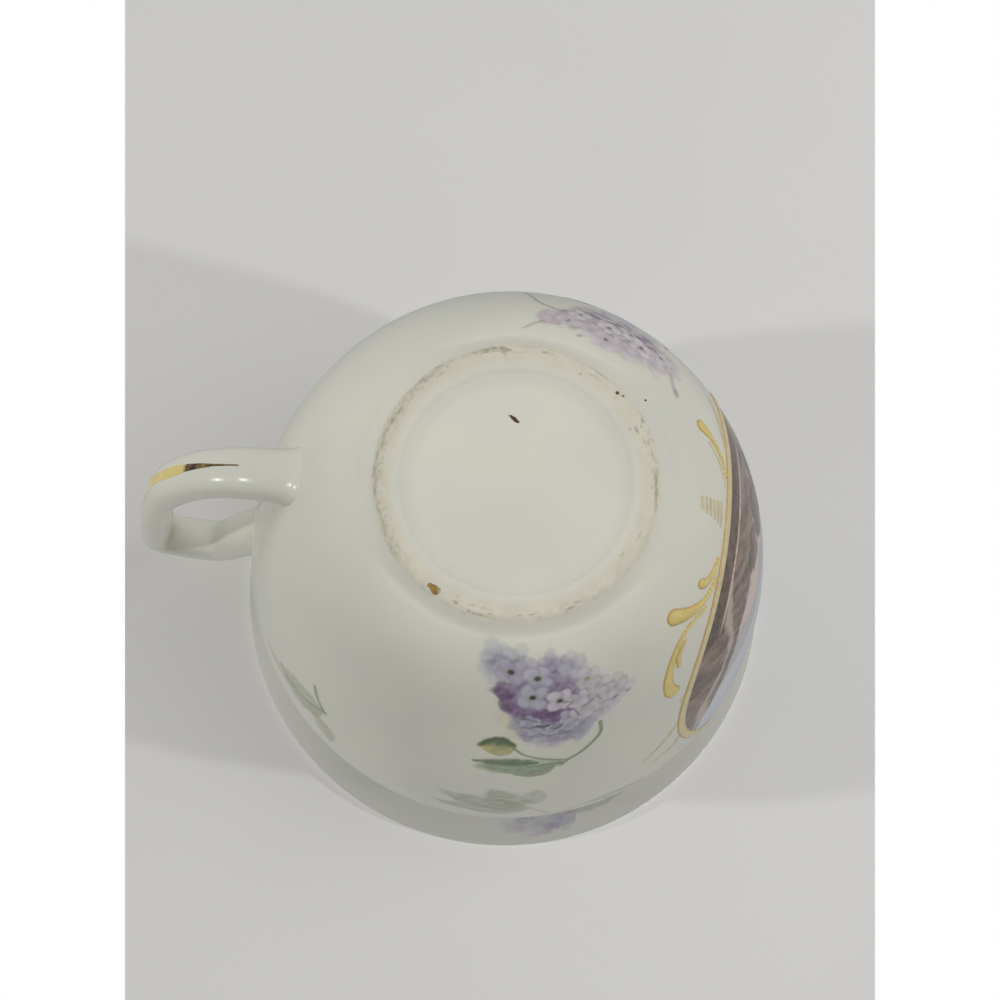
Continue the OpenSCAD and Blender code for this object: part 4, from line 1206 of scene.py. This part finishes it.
def make_panel():
    """The landscape from back to front: sky, clouds, ridge, fields, bank, trees, path and plinth."""
    canvas = Canvas((PANEL_TURN - 48, PANEL_TURN + 48), (13.5, 74.5), 0.32, (PANEL_TURN, length_at(PANEL_Z)))
    x, y = panel_place(canvas)
    edge = smooth(1.004, 0.992, oval_reach(canvas, 0.2))
    sky = smooth(-12, 24, y)[..., None]
    canvas.lay(edge, SKY_LOW * (1 - sky) + SKY_HIGH * sky)
    for k, (middle, half, strength) in enumerate(CLOUDS):
        lay_clumps(canvas, x, y, middle, half, (SKY_LOW, CLOUD), strength * edge, 131 + k)
    ridge = -5.5 + 5.0 * cloud(x, 0 * x, 16, 132)
    canvas.lay(0.8 * smooth(0.4, -0.4, y - ridge) * edge, HILL)
    meadow = -9.0 + 2.0 * cloud(x, 0 * x, 9, 133)
    canvas.lay(0.92 * smooth(0.3, -0.3, y - meadow) * edge, FIELD)
    hedges = smooth(0.56, 0.66, cloud(x * 0.35, y * 1.5, 2.2, 134)) * smooth(0.3, -0.3, y - meadow)
    canvas.lay(0.45 * hedges * edge, UMBER)
    bank = -18.0 + 2.4 * cloud(x, 0 * x, 6, 135) + 3.0 * smooth(-2, 8, x)
    bank = bank + 22.0 * np.clip((x - 8) / 21, 0, 1) ** 1.5
    along, across = 0.22 * (y - 0.8 * x) + 40, 0.8 * x + y + 90
    brush = cloud(along, across, 1.9, 136)[..., None]
    fine = cloud(1.6 * along, across, 0.8, 138)[..., None]
    wood = WOOD + (SEPIA - WOOD) * smooth(0.52, 0.3, brush)
    wood = wood + (WOOD_LIGHT - WOOD) * smooth(0.5, 0.68, 0.6 * brush + 0.4 * fine)
    canvas.lay(0.97 * smooth(0.5, -0.5, y - bank + 1.6 * (cloud(x, y, 1.6, 139) - 0.5)) * edge, wood)
    for k, (middle, half, strength) in enumerate(TREES):
        lay_clumps(canvas, x, y, middle, half, (SEPIA * 0.9, WOOD_LIGHT), strength * edge, 140 + k)
    path = np.abs(x - 15.5 - 0.75 * (y + 14) + 1.4 * np.sin(0.4 * y)) - 0.9
    ragged = 2.4 * (cloud(x, y, 1.8, 137) - 0.5)
    canvas.lay(0.6 * smooth(0.8, -0.6, path + ragged) * smooth(0.3, -0.3, y - bank) * edge, FIELD)
    step = (1 - oval_reach(canvas, 0)) * PANEL_H / 2
    plinth = smooth(3.3, 2.9, step) * smooth(-19.0, -21.0, y)
    canvas.lay(0.85 * plinth * edge, SEPIA * (0.9 + 0.6 * brush))
    line = smooth(0.30, 0.15, np.abs(step - 3.1)) * smooth(17, 13, np.abs(x)) * smooth(-15, -18, y)
    canvas.lay(0.9 * line * edge, PALE_LINE)
    finish_print(canvas, "landscape_panel", "picture_print", "picture_panel")


# Gilding of the panel: each stroke runs through turns about the axis, lengths up the wall and half widths
FRONT_STROKES = [
    [(191.0, 14.0, 0.35), (195.0, 13.9, 0.5), (198.4, 13.2, 0.6), (199.6, 12.3, 0.75)],
    [(195.5, 15.4, 0.25), (202.5, 14.9, 0.5), (207.5, 13.4, 0.85), (211.0, 11.8, 1.15), (212.4, 11.0, 1.25)],
    [
        (203.5, 16.2, 0.22), (209.0, 15.2, 0.3), (214.5, 15.8, 0.42), (219.4, 18.2, 0.6),
        (222.4, 21.6, 0.85), (222.9, 24.4, 1.05), (222.0, 26.0, 1.1),
    ],
    [(213.5, 16.8, 0.2), (217.2, 18.4, 0.45), (218.2, 20.4, 0.4)],
]
BACK_STROKES = [
    [(167.0, 14.9, 0.25), (162.0, 14.5, 0.4), (157.0, 13.3, 0.6), (154.0, 12.0, 0.95), (152.8, 11.3, 1.05)],
]
PALE_STROKES = [
    [(220.5, 30.0, 0.25), (222.2, 37.0, 0.5), (226.6, 41.5, 0.45), (232.7, 45.8, 0.25)],
    [(221.0, 40.0, 0.25), (223.0, 46.0, 0.45), (226.2, 49.0, 0.45), (230.0, 49.6, 0.25)],
    [(164.0, 16.4, 0.25), (156.0, 18.0, 0.7), (149.5, 19.8, 0.8), (142.2, 22.0, 0.3)],
    [(170.0, 14.2, 0.15), (163.0, 13.2, 0.22), (158.0, 11.8, 0.18)],
    [(135.5, 30.0, 0.25), (133.8, 36.0, 0.45), (129.4, 41.0, 0.45), (123.3, 45.8, 0.25)],
    [(134.4, 36.5, 0.3), (132.4, 44.0, 0.4), (132.6, 51.0, 0.3)],
]
TOP_STROKES = [
    [(195.0, 76.9, 0.16), (204.0, 75.6, 0.36), (210.0, 72.6, 0.6), (213.4, 68.6, 0.85), (213.2, 66.4, 1.0)],
    [(203.5, 74.6, 0.15), (211.0, 76.2, 0.34), (216.0, 75.6, 0.52), (218.2, 73.6, 0.66)],
    [(180.8, 76.4, 0.16), (186.0, 78.3, 0.36), (191.0, 77.9, 0.56), (193.2, 76.4, 0.7)],
]
# The small shell below the panel is a comb of short bars, one above the other
COMB_BARS, COMB_S = 6, 7.6
# The gold's grid step, points along a stroke, and the least shine of painted gold
GOLD_STEP, STROKE_POINTS, LEAST_SHINE = 0.13, 220, 0.03


def lay_gold(canvas, places, gold=GOLD, line_share=0.11):
    """A raised stroke of gold with a brown line along its edge."""
    places = np.array(places)
    line = catmull(places, np.linspace(0, len(places) - 1, STROKE_POINTS))
    near = np.abs(canvas.s - line[:, 1].mean()) < np.ptp(line[:, 1]) / 2 + 2.5
    near &= np.abs(canvas.turn - line[:, 0].mean()) < np.ptp(line[:, 0]) / 2 + 4
    turn, s, r = canvas.turn[near], canvas.s[near], canvas.r[near]
    q = np.full(turn.shape, 1e9)
    for t, length, half in line:
        q = np.minimum(q, np.hypot(np.radians(turn - t) * r, s - length) / half)
    reach = np.full(canvas.s.shape, 1e9)
    reach[near] = q
    lay_gold_reach(canvas, reach, line_share, gold)


def lay_gold_reach(canvas, reach, line_share, gold):
    """Gold where reach is below 1, its brown line at the edge, and its relief."""
    body = smooth(1.12, 0.98, reach)
    line = smooth(1 - 1.6 * line_share, 1 - 0.4 * line_share, reach) if line_share else np.zeros_like(reach)
    tone = 0.85 + 0.2 * cloud(canvas.x, canvas.y, 1.2, 150)[..., None]
    canvas.lay(body, gold * tone * (1 - line[..., None]) + BROWN_LINE * line[..., None])
    canvas.shine = np.maximum(canvas.shine, body * (1 - 0.75 * line))
    height = GILT_T - 0.04 if line_share else 0.05
    relief = 0.03 + height * np.sqrt(np.clip(1 - reach**2, 0, 1))
    canvas.lift = np.maximum(canvas.lift, np.where(body > 0, relief, 0))


def gold_canvas():
    """A canvas over the panel and its surround that also keeps how much the gold shines."""
    canvas = Canvas((118, 238), (6.4, 80.5), GOLD_STEP, (PANEL_TURN, length_at(PANEL_Z)))
    canvas.shine = np.zeros(canvas.s.shape)
    return canvas


def finish_gold(canvas, name, node):
    canvas.lift = np.maximum(canvas.lift, LEAST_LIFT)
    canvas.cover = np.where(canvas.cover > LEAST_COVER, np.maximum(canvas.shine, LEAST_SHINE), 0)
    canvas.film(name, "gilding", [node], GILT)


def make_gold():
    frame_gold = gold_canvas()
    middle = oval_reach(frame_gold, FRAME_W / 2)
    slope = np.hypot(*np.gradient(middle)) + 1e-9
    cells = (middle - 1) / slope * GOLD_STEP
    lay_gold_reach(frame_gold, np.abs(cells) / (0.5 * FRAME_W + 0.1), 0.18, GOLD_PALE)
    finish_gold(frame_gold, "panel_gold_frame", "panel_frame")
    scrolls = gold_canvas()
    mirrored = [[(2 * PANEL_TURN - t, s, w) for t, s, w in places] for places in TOP_STROKES]
    for places in FRONT_STROKES + BACK_STROKES + TOP_STROKES + mirrored:
        lay_gold(scrolls, places)
    for places in PALE_STROKES:
        lay_gold(scrolls, places, GOLD_FAINT, 0)
    for k in range(COMB_BARS):
        s = COMB_S + k
        bar = [(176.0 - 0.1 * k, s, 0.3), (178.3 + 0.1 * k, s + 0.1, 0.32), (179.2 + 0.55 * k, s + 0.3, 0.22)]
        lay_gold(scrolls, bar, GOLD_FAINT, 0)
    scrolls.cover = scrolls.cover * (oval_reach(scrolls, FRAME_W + 0.15) > 1)
    finish_gold(scrolls, "panel_gold_scrolls", "frame_scrolls")


# The photograph's camera, found by a fit: it stands below the foot and looks up past it

CAMERA_DISTANCE, CAMERA_AIM_Z = 307.8, 52.0
CAMERA_ELEVATION, CAMERA_ROLL = math.radians(76.55), math.radians(6.84)
CAMERA_PAN, CAMERA_TILT = -0.0082, 0.0340
CAMERA_LENS, CAMERA_SENSOR = 61.2, 36.0


def camera_axes():
    """Where the camera is, and its right, up and forward directions, in the cup's upright frame."""
    back = np.array([0, -math.cos(CAMERA_ELEVATION), -math.sin(CAMERA_ELEVATION)])
    forward, right = -back, np.array([-1.0, 0, 0])
    up = np.cross(right, forward)
    aim = forward + CAMERA_PAN * right + CAMERA_TILT * up
    aim /= np.linalg.norm(aim)
    side = np.cross(aim, up)
    side /= np.linalg.norm(side)
    top = np.cross(side, aim)
    c, s = math.cos(CAMERA_ROLL), math.sin(CAMERA_ROLL)
    place = np.array([0, 0, CAMERA_AIM_Z]) + CAMERA_DISTANCE * back
    return place, c * side + s * top, c * top - s * side, aim


def make_camera():
    place, right, up, forward = camera_axes()
    data = bpy.data.cameras.new("camera")
    data.lens, data.sensor_width = CAMERA_LENS, CAMERA_SENSOR
    data.clip_start, data.clip_end = 0.01, 20
    camera = add_object("camera", data)
    matrix = Matrix.Identity(4)
    for row in range(3):
        matrix[row][0], matrix[row][1], matrix[row][2] = right[row], up[row], -forward[row]
        matrix[row][3] = place[row] * MM
    camera.matrix_world = matrix
    bpy.context.scene.camera = camera


# The stage: a table at the lip for the photograph's view, a floor at the foot for views from above.
# Each shows from its front alone and casts no shadow, so neither is in the other view's way.

STAGE_GAP = 0.05
TABLE_Z = cad_box[1].z / MM + STAGE_GAP
# The table's left and right edges in a picture of that size, and how far it runs past top and bottom
TABLE_EDGES, IMAGE, TABLE_PAST = (125, 875), 1000, 20
# Half the floor's side, and the distances in metres between which it fades out
FLOOR_REACH, FLOOR_FADE = 900, (0.3, 0.85)


def table_corners():
    """The corners of the table, where rays through the edges of the picture's middle part meet it."""
    place, right, up, forward = camera_axes()
    focal = CAMERA_LENS / CAMERA_SENSOR * IMAGE
    corners = []
    start, stop = TABLE_EDGES
    high, low = -TABLE_PAST, IMAGE + TABLE_PAST
    for px, py in ((start, high), (stop, high), (stop, low), (start, low)):
        ray = forward + right * (px - IMAGE / 2) / focal - up * (py - IMAGE / 2) / focal
        corners.append(place + ray * (TABLE_Z - place[2]) / ray[2])
    return corners


def stage_material(name, colour, fade=None):
    """Matte on the front and clear from behind; fade clears it between two distances from the origin."""
    n = Nodes(bpy.data.materials.new(name))
    tone = n.mix(n.span(n.noise(9, 2), 0.35, 0.65), colour, colour * 0.965)
    matte = n.add("ShaderNodeBsdfDiffuse", Color=tone).outputs["BSDF"]
    clear = n.add("ShaderNodeBsdfTransparent").outputs["BSDF"]
    hidden = n.add("ShaderNodeNewGeometry").outputs["Backfacing"]
    if fade:
        hidden = n.math("MAXIMUM", hidden, n.span(n.length(n.place()), *fade))
    mixed = n.add("ShaderNodeMixShader", Fac=hidden)
    n.set(mixed, "1", matte)
    n.set(mixed, "2", clear)
    return n.finish(mixed.outputs["Shader"])


def make_plane(name, corners, material):
    mesh = bpy.data.meshes.new(name)
    mesh.from_pydata([tuple(np.array(c) * MM) for c in corners], [], [tuple(range(len(corners)))])
    mesh.materials.append(material)
    plane = add_object(name, mesh)
    plane.visible_shadow = plane.visible_diffuse = plane.visible_glossy = False
    return plane


def make_stage():
    corners = table_corners()
    facing = np.cross(np.subtract(corners[1], corners[0]), np.subtract(corners[2], corners[0]))
    corners = corners if facing[2] < 0 else corners[::-1]
    top = make_plane("table", corners, stage_material("table_white", TABLE_WHITE))
    signs = ((-1, -1), (1, -1), (1, 1), (-1, 1))
    floor = [(x * FLOOR_REACH, y * FLOOR_REACH, -STAGE_GAP) for x, y in signs]
    make_plane("floor", floor, stage_material("floor_white", FLOOR_WHITE, FLOOR_FADE))
    return top


def lamp(name, place, target, size, watts, glossy=False):
    """A round lamp that no camera sees; glossy lets the glaze mirror it."""
    data = bpy.data.lights.new(name, "AREA")
    data.shape, data.size, data.energy = "DISK", size * MM, watts
    obj = add_object(name, data)
    obj.location = Vector(place) * MM
    obj.rotation_euler = (Vector(target) - Vector(place)).to_track_quat("-Z", "Y").to_euler()
    obj.visible_camera = False
    obj.visible_glossy = glossy
    return obj


def receivers(name, obj, state="INCLUDE"):
    """A collection that keeps a lamp's light to one object, or off that object."""
    group = bpy.data.collections.new(name)
    group.objects.link(obj)
    group.collection_objects[0].light_linking.link_state = state
    return group


WORLD_LIGHT = 0.34
# Lamps: name, place, size and watts, all aimed at one place in the cup
LAMPS = [
    ("below", (110, 430, -900), 800, 4.4),
    ("below_table", (110, 850, -900), 800, 4.0),
    ("below_table_aside", (-600, 150, -900), 800, 2.6),
    ("side_handle", (1942, -477, -856), 130, 11.5),
    ("side_panel", (-985, -172, -389), 65, 3.4),
    ("above_key", (60, -690, 780), 520, 2.6),
    ("above_fill", (740, 160, 600), 520, 1.9),
    ("above_back", (-490, 580, 640), 520, 2.3),
    ("above_top", (0, -40, 1000), 420, 2.7),
    ("above_glint", (-90, 70, 1000), 240, 1.0),
]
LAMP_AIM = (0, 0, 40)
# Directions of two small bright lamps that only the handle mirrors, from the place they aim at
GLINT_WAYS = ((0.833, -0.131, -0.538), (0.581, -0.123, -0.805))
GLINT_AIM, GLINT_DISTANCE, GLINT_SIZE, GLINT_WATTS = (45, 0, 14), 800, 90, 0.5


def make_light():
    """Even light all round, broad lamps above and below, and two low side lamps for the table's shadows.
    The table has the lamp below as two of its own, one without shadow and one that throws it aside."""
    n = Nodes(bpy.data.worlds.new("studio"), "ShaderNodeOutputWorld")
    path = n.add("ShaderNodeLightPath").outputs
    seen = n.math("MAXIMUM", path["Is Camera Ray"], path["Is Transmission Ray"])
    strength = n.span(seen, 0.0, 1.0, WORLD_LIGHT, 1.0)
    background = n.add("ShaderNodeBackground", Color=(1.0, 1.0, 1.0, 1), Strength=strength)
    bpy.context.scene.world = n.finish(background.outputs["Background"])
    lamps = {name: lamp(name, place, LAMP_AIM, size, watts) for name, place, size, watts in LAMPS}
    lamps["above_glint"].visible_glossy = True
    table_only = receivers("table_only", table)
    lamps["below"].light_linking.receiver_collection = receivers("cup_only", table, "EXCLUDE")
    lamps["below_table"].light_linking.receiver_collection = table_only
    lamps["below_table"].light_linking.blocker_collection = table_only
    lamps["below_table_aside"].light_linking.receiver_collection = table_only
    only_handle = receivers("glint_receivers", handle)
    for k, way in enumerate(GLINT_WAYS):
        place = Vector(GLINT_AIM) + GLINT_DISTANCE * Vector(way)
        glint = lamp("glint_%d" % k, place, GLINT_AIM, GLINT_SIZE, GLINT_WATTS, True)
        glint.visible_diffuse = False
        glint.light_linking.receiver_collection = only_handle


make_body()
make_foot()
handle = make_handle()
make_handle_stripe()
make_guard()
make_guard_gilding()
make_rim_gilding()
make_sprays()
make_rim_spray()
make_sprig()
make_panel()
make_gold()
make_camera()
table = make_stage()
make_light()
bpy.context.scene.view_settings.view_transform = "Standard"
